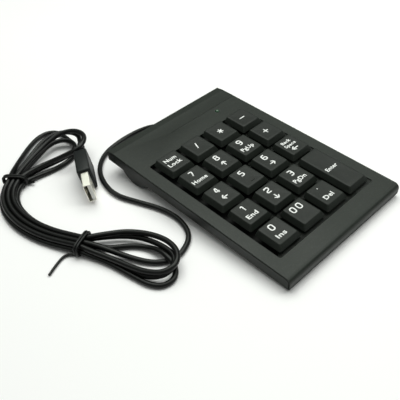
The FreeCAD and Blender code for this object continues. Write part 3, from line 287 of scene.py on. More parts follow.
def drawn_lines():
    """Fine parallel scratches of drawn or brushed sheet, along X of the mapping."""
    group, given, result = new_group("drawn_lines", [("Turn", 0.0), ("Density", 5200.0)], ["Line"])
    place = add_node(group, "ShaderNodeTexCoord").outputs["Object"]
    turn = add_node(group, "ShaderNodeCombineXYZ")
    group.links.new(given.outputs["Turn"], turn.inputs["Z"])
    mapping = add_node(group, "ShaderNodeMapping")
    mapping.inputs["Scale"].default_value = (0.04, 1.0, 1.0)
    group.links.new(place, mapping.inputs["Vector"])
    group.links.new(turn.outputs[0], mapping.inputs["Rotation"])
    line = scaled_noise(group, mapping.outputs[0], given.outputs["Density"], 2.0, 0.5)
    group.links.new(line, result.inputs["Line"])
    return group


EFFECTS = {}
FINISHES = {}


def effect(tree, name, **values):
    """A shader group placed in a material's tree."""
    node = tree.nodes.new("ShaderNodeGroup")
    if name not in EFFECTS:
        EFFECTS[name] = {"moulded_grain": moulded_grain, "edge_wear": edge_wear,
                         "settled_dust": settled_dust, "drawn_lines": drawn_lines}[name]()
    node.node_tree = EFFECTS[name]
    for label, value in values.items():
        node.inputs[label.replace("_", " ")].default_value = value
    return node


def mixed(tree, first, second, factor):
    """Colour mixed from first to second; each is a colour or a socket."""
    node = add_node(tree, "ShaderNodeMix", data_type="RGBA")
    colours = [item for item in node.inputs if item.type == "RGBA"]
    for socket, value in zip(colours, (first, second)):
        if isinstance(value, bpy.types.NodeSocket):
            tree.links.new(value, socket)
        else:
            socket.default_value = (*value[:3], 1.0)
    tree.links.new(factor, node.inputs[0])
    return next(item for item in node.outputs if item.type == "RGBA")


def bumped(tree, height, strength, distance):
    """Normal of a small relief."""
    bump = add_node(tree, "ShaderNodeBump", Strength=strength, Distance=distance)
    tree.links.new(height, bump.inputs["Height"])
    return bump.outputs["Normal"]


def lighter(colour, factor):
    """A colour moved towards white for a factor over 1, or darkened for one under 1."""
    return tuple(min(1.0, channel * factor) for channel in colour[:3])


def finish(name, colour, roughness, grain=0.25, grain_scale=2600.0, patch_scale=45.0, spread=1.25,
           wear=0.0, dust=0.0, metallic=0.0, coat=0.0, **constants):
    """A moulded or metal surface: grain, patches of handling, worn edges and dust, made once."""
    if name in FINISHES:
        return FINISHES[name]
    material = bpy.data.materials.new(name)
    material.use_nodes = True
    tree = material.node_tree
    shader = tree.nodes["Principled BSDF"]
    shader.inputs["Metallic"].default_value = metallic
    shader.inputs["Coat Weight"].default_value = coat
    for label, value in constants.items():
        shader.inputs[label.replace("_", " ")].default_value = value
    surface = effect(tree, "moulded_grain", Grain_Scale=grain_scale, Patch_Scale=patch_scale)
    base = mixed(tree, lighter(colour, 2 - spread), lighter(colour, spread), surface.outputs["Patch"])
    if wear:
        edge = effect(tree, "edge_wear", Amount=wear)
        base = mixed(tree, base, lighter(colour, 3.0), edge.outputs["Edge"])
    if dust:
        film = effect(tree, "settled_dust", Amount=dust)
        base = mixed(tree, base, (0.5, 0.5, 0.48), film.outputs["Dust"])
    tree.links.new(base, shader.inputs["Base Color"])
    rough = map_range(tree, surface.outputs["Patch"], 0.0, 1.0, roughness * 0.92, roughness * 1.08)
    tree.links.new(rough, shader.inputs["Roughness"])
    tree.links.new(bumped(tree, surface.outputs["Grain"], grain, 0.00003), shader.inputs["Normal"])
    material.diffuse_color = (*colour[:3], 1.0)
    FINISHES[name] = material
    return material


def drawn_metal(name, colour, roughness, turn=0.0):
    """Plated or drawn sheet metal."""
    if name in FINISHES:
        return FINISHES[name]
    material = finish(name, colour, roughness, grain=0.05, spread=1.04, metallic=1.0)
    tree = material.node_tree
    shader = tree.nodes["Principled BSDF"]
    lines = effect(tree, "drawn_lines", Turn=turn)
    tree.links.new(map_range(tree, lines.outputs["Line"], 0.3, 0.7, roughness * 0.75, roughness * 1.3),
                   shader.inputs["Roughness"])
    tree.links.new(bumped(tree, lines.outputs["Line"], 0.15, 0.00001), shader.inputs["Normal"])
    return material


def patterned(name, ground, figure, roughness, pattern, **options):
    """A flat part whose surface carries a printed or etched pattern in a second colour."""
    if name in FINISHES:
        return FINISHES[name]
    material = finish(name, ground, roughness, grain=0.1, spread=1.08)
    tree = material.node_tree
    shader = tree.nodes["Principled BSDF"]
    base = shader.inputs["Base Color"].links[0].from_socket
    texture = add_node(tree, pattern, **options)
    place = add_node(tree, "ShaderNodeTexCoord").outputs["Object"]
    tree.links.new(place, texture.inputs["Vector"])
    level = texture.outputs["Fac"] if "Fac" in texture.outputs else texture.outputs[0]
    mask = map_range(tree, level, 0.46, 0.54, 0.0, 1.0)
    tree.links.new(mixed(tree, base, figure, mask), shader.inputs["Base Color"])
    return material


# ---------------------------------------------------------------------------------------------
# Mesh helpers.

def finished(name, mesh, material, body=BODY, replaces=()):
    """Link a mesh as a piece that rides on a body."""
    piece = bpy.data.objects.new(name, mesh)
    bpy.context.scene.collection.objects.link(piece)
    piece.data.materials.clear()
    piece.data.materials.append(material)
    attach(piece, body)
    if replaces:
        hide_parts(*replaces)
    return piece


def closed_mesh(name, shape, placement=Matrix(), smooth_angle=35.0):
    """A bmesh turned into a placed mesh with outward normals and smooth curved faces."""
    bmesh.ops.recalc_face_normals(shape, faces=shape.faces[:])
    bmesh.ops.transform(shape, matrix=placement, verts=shape.verts[:])
    mesh = bpy.data.meshes.new(name)
    shape.to_mesh(mesh)
    shape.free()
    mesh.shade_smooth()
    mesh.set_sharp_from_angle(angle=math.radians(smooth_angle))
    return mesh


def add_block(shape, low, high):
    """A box between two corners; returns its vertices."""
    low, high = Vector(low), Vector(high)
    centre = Matrix.Translation((low + high) / 2)
    size = Matrix.Diagonal((*(high - low), 1.0))
    return bmesh.ops.create_cube(shape, size=1.0, matrix=centre @ size)["verts"]


def edges_between(verts):
    """The edges that have both ends among the vertices."""
    chosen = set(verts)
    return list({edge for vert in chosen for edge in vert.link_edges
                 if edge.other_vert(vert) in chosen})


def round_off(shape, edges, width, segments=3):
    """Bevel edges to a round."""
    bmesh.ops.bevel(shape, geom=edges, offset=width, offset_type="OFFSET", segments=segments,
                    profile=0.5, affect="EDGES", material=-1, clamp_overlap=True)


def add_turned(shape, profile, placement=Matrix(), steps=40):
    """A solid turned about X from (x, radius) pairs whose ends close on the axis."""
    verts = [shape.verts.new((x, radius, 0.0)) for x, radius in profile]
    edges = [shape.edges.new(pair) for pair in zip(verts, verts[1:])]
    bmesh.ops.spin(shape, geom=verts + edges, cent=(0, 0, 0), axis=(1, 0, 0), angle=math.tau,
                   steps=steps, use_merge=True)
    bmesh.ops.remove_doubles(shape, verts=shape.verts[:], dist=1e-7)
    bmesh.ops.transform(shape, matrix=placement, verts=shape.verts[:])


def softened(node, name, material, width):
    """A CAD part's own shape, its flat faces merged, with its sharp edges slightly rounded."""
    shape = bmesh.new()
    shape.from_mesh(frame["nodes"][node].data)
    bmesh.ops.remove_doubles(shape, verts=shape.verts[:], dist=2e-6)
    bmesh.ops.dissolve_limit(shape, angle_limit=math.radians(0.4), verts=shape.verts[:],
                             edges=shape.edges[:], use_dissolve_boundaries=False)
    mesh = bpy.data.meshes.new(name)
    shape.to_mesh(mesh)
    shape.free()
    mesh.shade_smooth()
    mesh.set_sharp_from_angle(angle=SHARP_ANGLE)
    piece = finished(name, mesh, material, replaces=[node])
    bevel = piece.modifiers.new("rounded_edges", "BEVEL")
    bevel.width = width
    bevel.segments = 2
    bevel.limit_method = "ANGLE"
    bevel.angle_limit = SHARP_ANGLE
    bevel.harden_normals = True


def painted(node, material):
    """A CAD part whose shape is right keeps it and gets its finish."""
    part = frame["nodes"][node]
    part.data.materials.clear()
    part.data.materials.append(material)
    part.data.shade_smooth()
    part.data.set_sharp_from_angle(angle=SHARP_ANGLE)


def smooth_line(name, points, radius, material):
    """A round line along one open NURBS spline through control points in metres."""
    curve = bpy.data.curves.new(name, "CURVE")
    curve.dimensions = "3D"
    curve.bevel_depth = radius
    curve.bevel_resolution = 5
    curve.resolution_u = 6
    curve.use_fill_caps = True
    spline = curve.splines.new("NURBS")
    spline.points.add(len(points) - 1)
    for point, control in zip(points, spline.points):
        control.co = (*point, 1.0)
    spline.order_u = 3
    spline.use_endpoint_u = True
    piece = bpy.data.objects.new(name, curve)
    bpy.context.scene.collection.objects.link(piece)
    curve.materials.append(material)
    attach(piece, BODY)
    return piece


# ---------------------------------------------------------------------------------------------
# Settings.

def colour_setting(name, description, default):
    """A colour in the panel."""
    return bpy.props.FloatVectorProperty(name=name, description=description, default=default,
                                         subtype="COLOR", size=3, min=0.0, max=1.0)


def distance_setting(name, description, default):
    """A length in the panel, in metres."""
    return bpy.props.FloatProperty(name=name, description=description, default=default,
                                   subtype="DISTANCE", unit="LENGTH")


class KeypadCase(bpy.types.PropertyGroup):
    """Finish of the case."""
    plastic: colour_setting("Plastic", "Colour of the moulded case", (0.0085, 0.0112, 0.0086))
    edge: distance_setting("Edge Round", "Radius on the case's outer edges", 0.0002)
    lamp: colour_setting("Lamp", "Colour of the lamp", (0.004, 0.05, 0.016))


class KeypadKeys(bpy.types.PropertyGroup):
    """Shape and finish of the key caps."""
    plastic: colour_setting("Plastic", "Colour of the key caps", (0.0066, 0.0088, 0.0068))
    print_colour: colour_setting("Print", "Colour of the legends", (0.95, 0.94, 0.95))
    corner: distance_setting("Corner", "Radius of a cap's upright corners", 0.0009)
    rim: distance_setting("Rim", "Radius round the top of a cap", 0.0005)
    dish: distance_setting("Dish", "Depth of the hollow in a cap's top", 0.00018)
    stroke: distance_setting("Stroke", "Width of the strokes of the digits", 0.00076)


class KeypadLead(bpy.types.PropertyGroup):
    """The lead, its ties and its plug."""
    diameter: distance_setting("Diameter", "Diameter of the lead", 0.003)
    length: distance_setting("Length", "Length of the lead from its boot to its plug", 1.56)
    jacket: colour_setting("Jacket", "Colour of the lead's jacket", (0.0016, 0.0018, 0.0017))
    tie: distance_setting("Tie", "Diameter of the coated wire of the ties", 0.0014)


class KeypadStage(bpy.types.PropertyGroup):
    """Camera, floor and lights."""
    camera_place: bpy.props.FloatVectorProperty(
        name="Camera Place", description="Where the camera stands", subtype="TRANSLATION",
        unit="LENGTH", size=3, default=(-0.186888, -0.173920, 0.216008))
    camera_turn: bpy.props.FloatVectorProperty(
        name="Camera Turn", description="Turn of the camera about X, Y and Z", subtype="EULER",
        unit="ROTATION", size=3,
        default=(math.radians(48.2241), math.radians(3.8317), math.radians(-44.1785)))
    lens: bpy.props.FloatProperty(
        name="Lens", description="Focal length on a 36 mm sensor, in millimetres", default=52.01)
    floor: colour_setting("Floor", "Colour of the floor", (0.93, 0.90, 0.93))
    key_light: bpy.props.FloatProperty(
        name="Key Light", description="Power of the large softbox", subtype="POWER", unit="POWER",
        default=9.0)
    surround: bpy.props.FloatProperty(
        name="Surround", description="Brightness of the white surround overhead", default=0.62)


# ---------------------------------------------------------------------------------------------
# Stage and lead.

def add_softbox(name, place, aim, width, height, power, colour):
    """A soft rectangular light that looks at a point."""
    light = bpy.data.lights.new(name, "AREA")
    light.shape = "RECTANGLE"
    light.size, light.size_y = width, height
    light.energy = power
    light.color = colour
    box = bpy.data.objects.new(name, light)
    box.matrix_world = Matrix.Translation(place) @ (
        Vector(place) - Vector(aim)).to_track_quat("Z", "Y").to_matrix().to_4x4()
    bpy.context.scene.collection.objects.link(box)


class KEYPAD_OT_stage(bpy.types.Operator):
    """Set up the camera, the pale floor and soft studio light."""
    bl_idname = "keypad.stage"
    bl_label = "Stage"

    def execute(self, context):
        looks = context.scene.keypad_stage
        camera = bpy.data.objects.new("camera", bpy.data.cameras.new("camera"))
        camera.location = looks.camera_place
        camera.rotation_euler = looks.camera_turn
        camera.data.lens = looks.lens
        camera.data.sensor_width = 36.0
        camera.data.clip_start = 0.01
        context.scene.collection.objects.link(camera)
        context.scene.camera = camera

        shape = bmesh.new()
        bmesh.ops.create_grid(shape, x_segments=8, y_segments=8, size=3.0)
        mesh = bpy.data.meshes.new("floor")
        shape.to_mesh(mesh)
        shape.free()
        floor = bpy.data.objects.new("floor", mesh)
        mesh.materials.append(finish("pale_floor", looks.floor, 0.6, grain=0.02, patch_scale=3.0,
                                     spread=1.01))
        context.scene.collection.objects.link(floor)

        world = bpy.data.worlds.new("white_surround")
        context.scene.world = world
        world.use_nodes = True
        background = world.node_tree.nodes["Background"]
        background.inputs["Color"].default_value = (0.94, 1.0, 0.93, 1.0)
        sky = world.node_tree
        split = add_node(sky, "ShaderNodeSeparateXYZ")
        sky.links.new(add_node(sky, "ShaderNodeTexCoord").outputs["Generated"], split.inputs[0])
        overhead = map_range(sky, split.outputs["Z"], 0.3, 1.0, 0.12 * looks.surround, looks.surround)
        seen = add_node(sky, "ShaderNodeLightPath").outputs["Is Camera Ray"]
        brighter = add_node(sky, "ShaderNodeMath", operation="MAXIMUM")
        sky.links.new(overhead, brighter.inputs[0])
        sky.links.new(seen, brighter.inputs[1])
        sky.links.new(brighter.outputs[0], background.inputs["Strength"])
        add_softbox("softbox_above", (0.25, 0.25, 0.95), (0.0, 0.0, 0.0), 1.0, 0.8,
                    looks.key_light, (0.95, 1.0, 0.93))
        add_softbox("softbox_front", (0.55, -0.45, 0.75), (0.0, 0.0, 0.0), 0.4, 0.4,
                    looks.key_light * 0.25, (0.95, 1.0, 0.94))
        context.scene.view_settings.view_transform = "Standard"
        return {"FINISHED"}


def jacket_finish(context):
    """Satin flexible plastic of the lead."""
    return finish("lead_jacket", context.scene.keypad_lead.jacket, 0.34, grain=0.12,
                  grain_scale=3800.0, spread=1.2, dust=0.01, Specular_IOR_Level=0.28)


class KEYPAD_OT_lead(bpy.types.Operator):
    """Lay the lead from the boot through its tied hank to the plug."""
    bl_idname = "keypad.lead"
    bl_label = "Lead"

    def execute(self, context):
        looks = context.scene.keypad_lead
        lead = smooth_line("lead", lead_points(), looks.diameter / 2, jacket_finish(context))
        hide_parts("cord_lead", "cord_hank")
        return {"FINISHED"}


def tie_band(index, turns, wire):
    """Control points of a wire wound round the bundle at a station, in millimetres."""
    here, along, side = station(index)
    low = wire / 2 + 0.02
    half_width, height = 6.4 + wire / 2, 7.6
    centre = (low + height) / 2
    half_height = (height - low) / 2
    per_turn = 16
    count = turns * per_turn
    points = []
    for step in range(count + 1):
        angle = -math.pi * 0.75 + math.tau * step / per_turn
        flat, tall = math.cos(angle), math.sin(angle)
        outward = half_width * math.copysign(abs(flat) ** 0.55, flat)
        height_here = centre + half_height * math.copysign(abs(tall) ** 0.6, tall)
        advance = (step / count - 0.5) * turns * wire * 1.05
        spot = here + side * outward + along * advance
        points.append((spot.x, spot.y, height_here))
    return points


class KEYPAD_OT_ties(bpy.types.Operator):
    """Wind a coated wire tie round each end of the bundle."""
    bl_idname = "keypad.ties"
    bl_label = "Ties"

    def execute(self, context):
        wire = context.scene.keypad_lead.tie / MM
        coat = finish("tie_coat", (0.0025, 0.0028, 0.0026), 0.45, grain=0.2, grain_scale=3000.0,
                      spread=1.2, Specular_IOR_Level=0.3)
        front = tie_band(0, 2, wire) + TIE_TAIL
        here, along, side = station(len(SPINE) - 1)
        back = tie_band(len(SPINE) - 1, 2, wire)
        ends = []
        for outward, forward, height in ((-7.2, 1.4, 1.4), (-9.0, 2.2, 1.6), (-10.8, 1.6, 2.6)):
            spot = here + side * outward + along * forward
            ends.append((spot.x, spot.y, height))
        for name, points in (("tie_front", front), ("tie_back", back + ends)):
            tie = smooth_line(name, [Vector(point) * MM for point in points], wire / 2 * MM, coat)
        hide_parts("hank_ties")
        return {"FINISHED"}


def ribbed_profile(start, end, first, last, ribs, depth):
    """(x, radius) pairs of a taper cut by grooves, closed on the axis at both ends."""
    profile = [(start, 0.0), (start, first)]
    pitch = (end - start) / (ribs + 0.5)
    for rib in range(ribs):
        for share, cut in ((0.55, 0.0), (0.62, depth), (0.93, depth), (1.0, 0.0)):
            x = start + pitch * (rib + share)
            radius = first + (last - first) * (x - start) / (end - start)
            profile.append((x, radius - cut))
    return profile + [(end, last), (end, 0.0)]


class KEYPAD_OT_strain_relief(bpy.types.Operator):
    """Turn the ribbed strain relief in the back of the case."""
    bl_idname = "keypad.strain_relief"
    bl_label = "Strain Relief"

    def execute(self, context):
        low, high = flat_box("strain_relief")
        middle = (low + high) / 2
        length = high.y - low.y
        shape = bmesh.new()
        profile = [(0.0, 0.0), (0.0, 2.3 * MM), (0.8 * MM, 2.3 * MM), (0.8 * MM, 2.1 * MM)]
        profile += ribbed_profile(length - 7.0 * MM, length, 2.1 * MM, 1.75 * MM, 4, 0.3 * MM)[1:]
        along_y = Matrix.Translation((middle.x, low.y, middle.z)) @ Matrix.Rotation(
            math.pi / 2, 4, "Z")
        add_turned(shape, profile, TILT @ along_y)
        boot = closed_mesh("strain_relief_boot", shape)
        finished("strain_relief_boot", boot, jacket_finish(context),
                 replaces=["strain_relief"])
        return {"FINISHED"}


class KEYPAD_OT_plug(bpy.types.Operator):
    """Mould the plug's grip and neck, and finish its shell, tongue and contacts."""
    bl_idname = "keypad.plug"
    bl_label = "Plug"

    def execute(self, context):
        moulding = finish("plug_moulding", (0.0042, 0.0060, 0.0060), 0.42, grain=0.25,
                          grain_scale=3000.0, spread=1.15, wear=0.2, Specular_IOR_Level=0.3)
        shape = bmesh.new()
        add_turned(shape, ribbed_profile(0.0, NECK_LENGTH * MM, 2.8 * MM, 2.0 * MM, 5, 0.45 * MM))
        grip = add_block(shape, (-GRIP_LENGTH * MM, -GRIP_HALF_THICK * MM, -GRIP_HALF_WIDE * MM),
                         (0.0, GRIP_HALF_THICK * MM, GRIP_HALF_WIDE * MM))
        faces = [face for face in {face for vert in grip for face in vert.link_faces}
                 if abs(face.normal.y) > 0.9]
        edges = edges_between(grip)
        bmesh.ops.inset_individual(shape, faces=faces, thickness=1.9 * MM, depth=0.0)
        bmesh.ops.inset_individual(shape, faces=faces, thickness=0.25 * MM, depth=-0.25 * MM)
        round_off(shape, edges, 1.1 * MM, 4)
        finished("plug_grip", closed_mesh("plug_grip", shape, PLUG), moulding,
                 replaces=["usb_grip"])

        yaw = PLUG.to_euler().z
        painted("usb_shell", drawn_metal("plated_shell", (0.95, 0.93, 0.85), 0.42, -yaw))
        painted("usb_tongue", finish("tongue_white", (0.84, 0.84, 0.80), 0.45, grain=0.1, spread=1.03))
        shape = bmesh.new()
        for place, reach in ((-3.5, 0.7), (-1.25, 1.5), (1.25, 1.5), (3.5, 0.7)):
            verts = add_block(shape, ((-33.0 + reach) * MM, -0.05 * MM, (place - 0.5) * MM),
                              (-24.0 * MM, 0.1 * MM, (place + 0.5) * MM))
            round_off(shape, edges_between(verts), 0.04 * MM, 1)
        contacts = finished("plug_contacts", closed_mesh("plug_contacts", shape, PLUG),
                            drawn_metal("contact_gold", (0.86, 0.62, 0.26), 0.25, -yaw))

        return {"FINISHED"}


# ---------------------------------------------------------------------------------------------
# Keys and their legends. Each stroke of a glyph lies in a box one wide and one high.

GLYPHS = {
    "0": [([(0, 0), (1, 0), (1, 1), (0, 1)], True)],
    "1": [([(0.12, 0.86), (0.62, 1.0), (0.62, 0.0)], False)],
    "2": [([(0, 0.8), (0, 1), (1, 1), (1, 0.52), (0, 0.3), (0, 0), (1, 0)], False)],
    "3": [([(0, 1), (1, 1), (1, 0), (0, 0)], False), ([(0.25, 0.52), (1, 0.52)], False)],
    "4": [([(0.74, 0), (0.74, 1), (0.5, 1), (0, 0.3), (1.08, 0.3)], False)],
    "5": [([(1, 1), (0.06, 1), (0.06, 0.56), (1, 0.56), (1, 0), (0, 0)], False)],
    "6": [([(0.92, 1), (0, 1), (0, 0), (1, 0), (1, 0.56), (0, 0.56)], False)],
    "7": [([(0, 1), (1, 1), (0.38, 0)], False)],
    "8": [([(0.06, 0.54), (0.06, 1), (0.94, 1), (0.94, 0.54)], True),
          ([(0, 0), (1, 0), (1, 0.54), (0, 0.54)], True)],
    "9": [([(0.08, 0), (1, 0), (1, 1), (0, 1), (0, 0.44), (1, 0.44)], False)],
    ".": [([(0.4, 0.5), (0.6, 0.5)], False)],
    "/": [([(0.28, 0), (0.72, 1)], False)],
    "-": [([(0, 0.5), (1, 0.5)], False)],
    "+": [([(0, 0.5), (1, 0.5)], False), ([(0.5, 0), (0.5, 1)], False)],
    "*": [([(0.5, 0), (0.5, 1)], False), ([(0.05, 0.25), (0.95, 0.75)], False),
          ([(0.05, 0.75), (0.95, 0.25)], False)],
    "right": [([(0, 0.5), (0.98, 0.5)], False), ([(0.5, 1), (1, 0.5), (0.5, 0)], False)],
}
TURNS = {"right": 0, "up": 90, "left": 180, "down": 270}
# Legends: (mark, x, y, width, height) in millimetres from the middle of the key's top.
DIGIT = (3.3, 4.3)
UPPER, LOWER = (-0.8, 3.9), (-0.7, -2.2)


def digit(mark, x=UPPER[0]):
    """One large digit at the back of the key."""
    return (mark, x, UPPER[1], *DIGIT)


def word(text, width, x=LOWER[0], y=LOWER[1], height=2.9):
    """A small word; its height is that of a capital."""
    return (text, x, y, width, height)


def arrow(direction):
    """A small arrow under a digit."""
    return (direction, LOWER[0], LOWER[1], 4.6, 4.0)


LEGENDS = {
    "num_lock": [word("Num", 8.2, -0.6, 3.1), word("Lock", 9.2, -0.6, -1.3)],
    "divide": [("/", -0.6, 0.8, 4.4, 5.4)],
    "multiply": [("*", -0.4, 0.6, 4.4, 4.8)],
    "subtract": [("-", -0.6, 0.5, 4.8, 3.6)],
    "add": [("+", -0.6, 0.5, 4.6, 4.6)],
    "7": [digit("7"), word("Home", 10.2)],
    "8": [digit("8"), arrow("up")],
    "9": [digit("9"), word("PgUp", 9.2)],
    "4": [digit("4"), arrow("left")],
    "5": [digit("5")],
    "6": [digit("6"), arrow("right")],
    "backspace": [word("Back", 7.2, -0.8, 4.3, 2.3), word("Space", 8.6, -0.8, 1.0, 2.3),
                  ("left", -1.0, -3.0, 5.6, 3.6)],
    "1": [digit("1"), word("End", 7.4)],
    "2": [digit("2"), arrow("down")],
    "3": [digit("3"), word("PgDn", 9.2)],
    "0": [digit("0"), word("Ins", 6.4)],
    "00": [digit("0", -3.0), digit("0", 1.7)],
    "decimal": [(".", -0.8, 4.9, 3.3, 4.3), word("Del", 6.8)],
    "enter": [word("Enter", 8.8, -0.6, 0.6, 2.6)],
}


def rounded_stroke(points, radius, closed):
    """The points of a stroke with its corners turned into short arcs."""
    count = len(points)
    dense = []
    for index, corner in enumerate(points):
        if not closed and index in (0, count - 1):
            dense.append(corner)
            continue
        before, after = points[index - 1], points[(index + 1) % count]
        reach = min(radius, (before - corner).length * 0.5, (after - corner).length * 0.5)
        start = corner + (before - corner).normalized() * reach
        end = corner + (after - corner).normalized() * reach
        for step in range(5):
            share = step / 4
            dense.append(start.lerp(corner, share).lerp(corner.lerp(end, share), share))
    return dense


def mesh_of_curve(curve):
    """The mesh that a curve makes, free of the curve."""
    holder = bpy.data.objects.new("pen", curve)
    bpy.context.scene.collection.objects.link(holder)
    bpy.context.view_layer.update()
    graph = bpy.context.evaluated_depsgraph_get()
    mesh = bpy.data.meshes.new_from_object(holder.evaluated_get(graph))
    bpy.data.objects.remove(holder)
    return mesh


def glyph_mesh(mark, width, height, stroke, nib):
    """A large mark drawn with a flat nib, centred on the origin."""
    kind = "right" if mark in TURNS else mark
    turn = Matrix.Rotation(math.radians(TURNS.get(mark, 0)), 2)
    curve = bpy.data.curves.new("mark", "CURVE")
    curve.dimensions = "3D"
    curve.twist_mode = "Z_UP"
    curve.bevel_mode = "OBJECT"
    curve.bevel_object = nib
    for points, closed in GLYPHS[kind]:
        scale = Vector((width - stroke, height - stroke))
        corners = [Vector(((x - 0.5) * scale.x, (y - 0.5) * scale.y)) for x, y in points]
        dense = rounded_stroke(corners, stroke * 1.5, closed)
        spline = curve.splines.new("POLY")
        spline.points.add(len(dense) - 1)
        for point, control in zip(dense, spline.points):
            control.co = (*(turn @ point), 0.0, 1.0)
        spline.use_cyclic_u = closed
    return mesh_of_curve(curve)


def word_mesh(text, width, height):
    """A small word in the plain built-in face, brought to a width and a capital height."""
    letters = bpy.data.curves.new("word", "FONT")
    letters.body = text
    letters.size = 1.0
    letters.offset = 0.026
    letters.resolution_u = 3
    letters.space_character = 1.04
    mesh = mesh_of_curve(letters)
    left, right = (end(vertex.co.x for vertex in mesh.vertices) for end in (min, max))
    scale = Matrix.Diagonal((width / (right - left), height / CAPITAL_HEIGHT, 1.0, 1.0))
    mesh.transform(scale @ Matrix.Translation((-(left + right) / 2, -CAPITAL_HEIGHT / 2, 0.0)))
    return mesh


def stepped_in(shape, face, share, share_across=None):
    """Shrink a face about its middle, leaving a ring of faces round it."""
    made = bmesh.ops.extrude_discrete_faces(shape, faces=[face])["faces"][0]
    middle = made.calc_center_bounds()
    for vert in made.verts:
        vert.co.x = middle.x + (vert.co.x - middle.x) * (share_across or share)
        vert.co.y = middle.y + (vert.co.y - middle.y) * share
    return made


def add_key_cap(shape, centre, half, looks):
    """A hollow tapered cap with round corners and rim and a dished top."""
    top, skirt = KEY_TOP, KEY_TOP - KEY_HEIGHT
    verts = add_block(shape, (centre.x - half.x, centre.y - half.y, skirt),
                      (centre.x + half.x, centre.y + half.y, top))
    for vert in verts:
        if vert.co.z > top - 1e-6:
            vert.co.x -= math.copysign(CAP_SIDE, vert.co.x - centre.x)
            vert.co.y += CAP_FRONT if vert.co.y < centre.y else -CAP_BACK
    uprights = [edge for edge in shape.edges if abs(edge.verts[0].co.z - edge.verts[1].co.z) > 1e-3]
    round_off(shape, uprights, looks.corner, 5)
    rim = [edge for edge in shape.edges if all(vert.co.z > top - 1e-6 for vert in edge.verts)]
    round_off(shape, rim, looks.rim, 4)
    shape.normal_update()
    level = [face for face in shape.faces if face.normal.z > 0.999]
    lid = max(level, key=lambda face: face.calc_area())
    for step in range(5):
        share = 0.82 - 0.16 * step
        lid = stepped_in(shape, lid, share / (share + 0.16 if step else 1.0))
        for vert in lid.verts:
            vert.co.z = top - looks.dish * (1 - share ** 2)
    under = min(shape.faces, key=lambda face: face.normal.z)
    under = stepped_in(shape, under, 1 - CAP_WALL / half.y, 1 - CAP_WALL / half.x)
    ceiling = stepped_in(shape, under, 1.0)
    share = (KEY_HEIGHT - CAP_ROOF) / KEY_HEIGHT
    for vert in ceiling.verts:
        vert.co.z = top - CAP_ROOF
        vert.co.x -= math.copysign(CAP_SIDE * share, vert.co.x - centre.x)
        vert.co.y += (CAP_FRONT if vert.co.y < centre.y else -CAP_BACK) * share


def add_rod(shape, x, y, low, high, radius, segments=28):
    """An upright closed rod."""
    middle = Matrix.Translation((x, y, (low + high) / 2))
    bmesh.ops.create_cone(shape, cap_ends=True, segments=segments, radius1=radius, radius2=radius,
                          depth=high - low, matrix=middle)


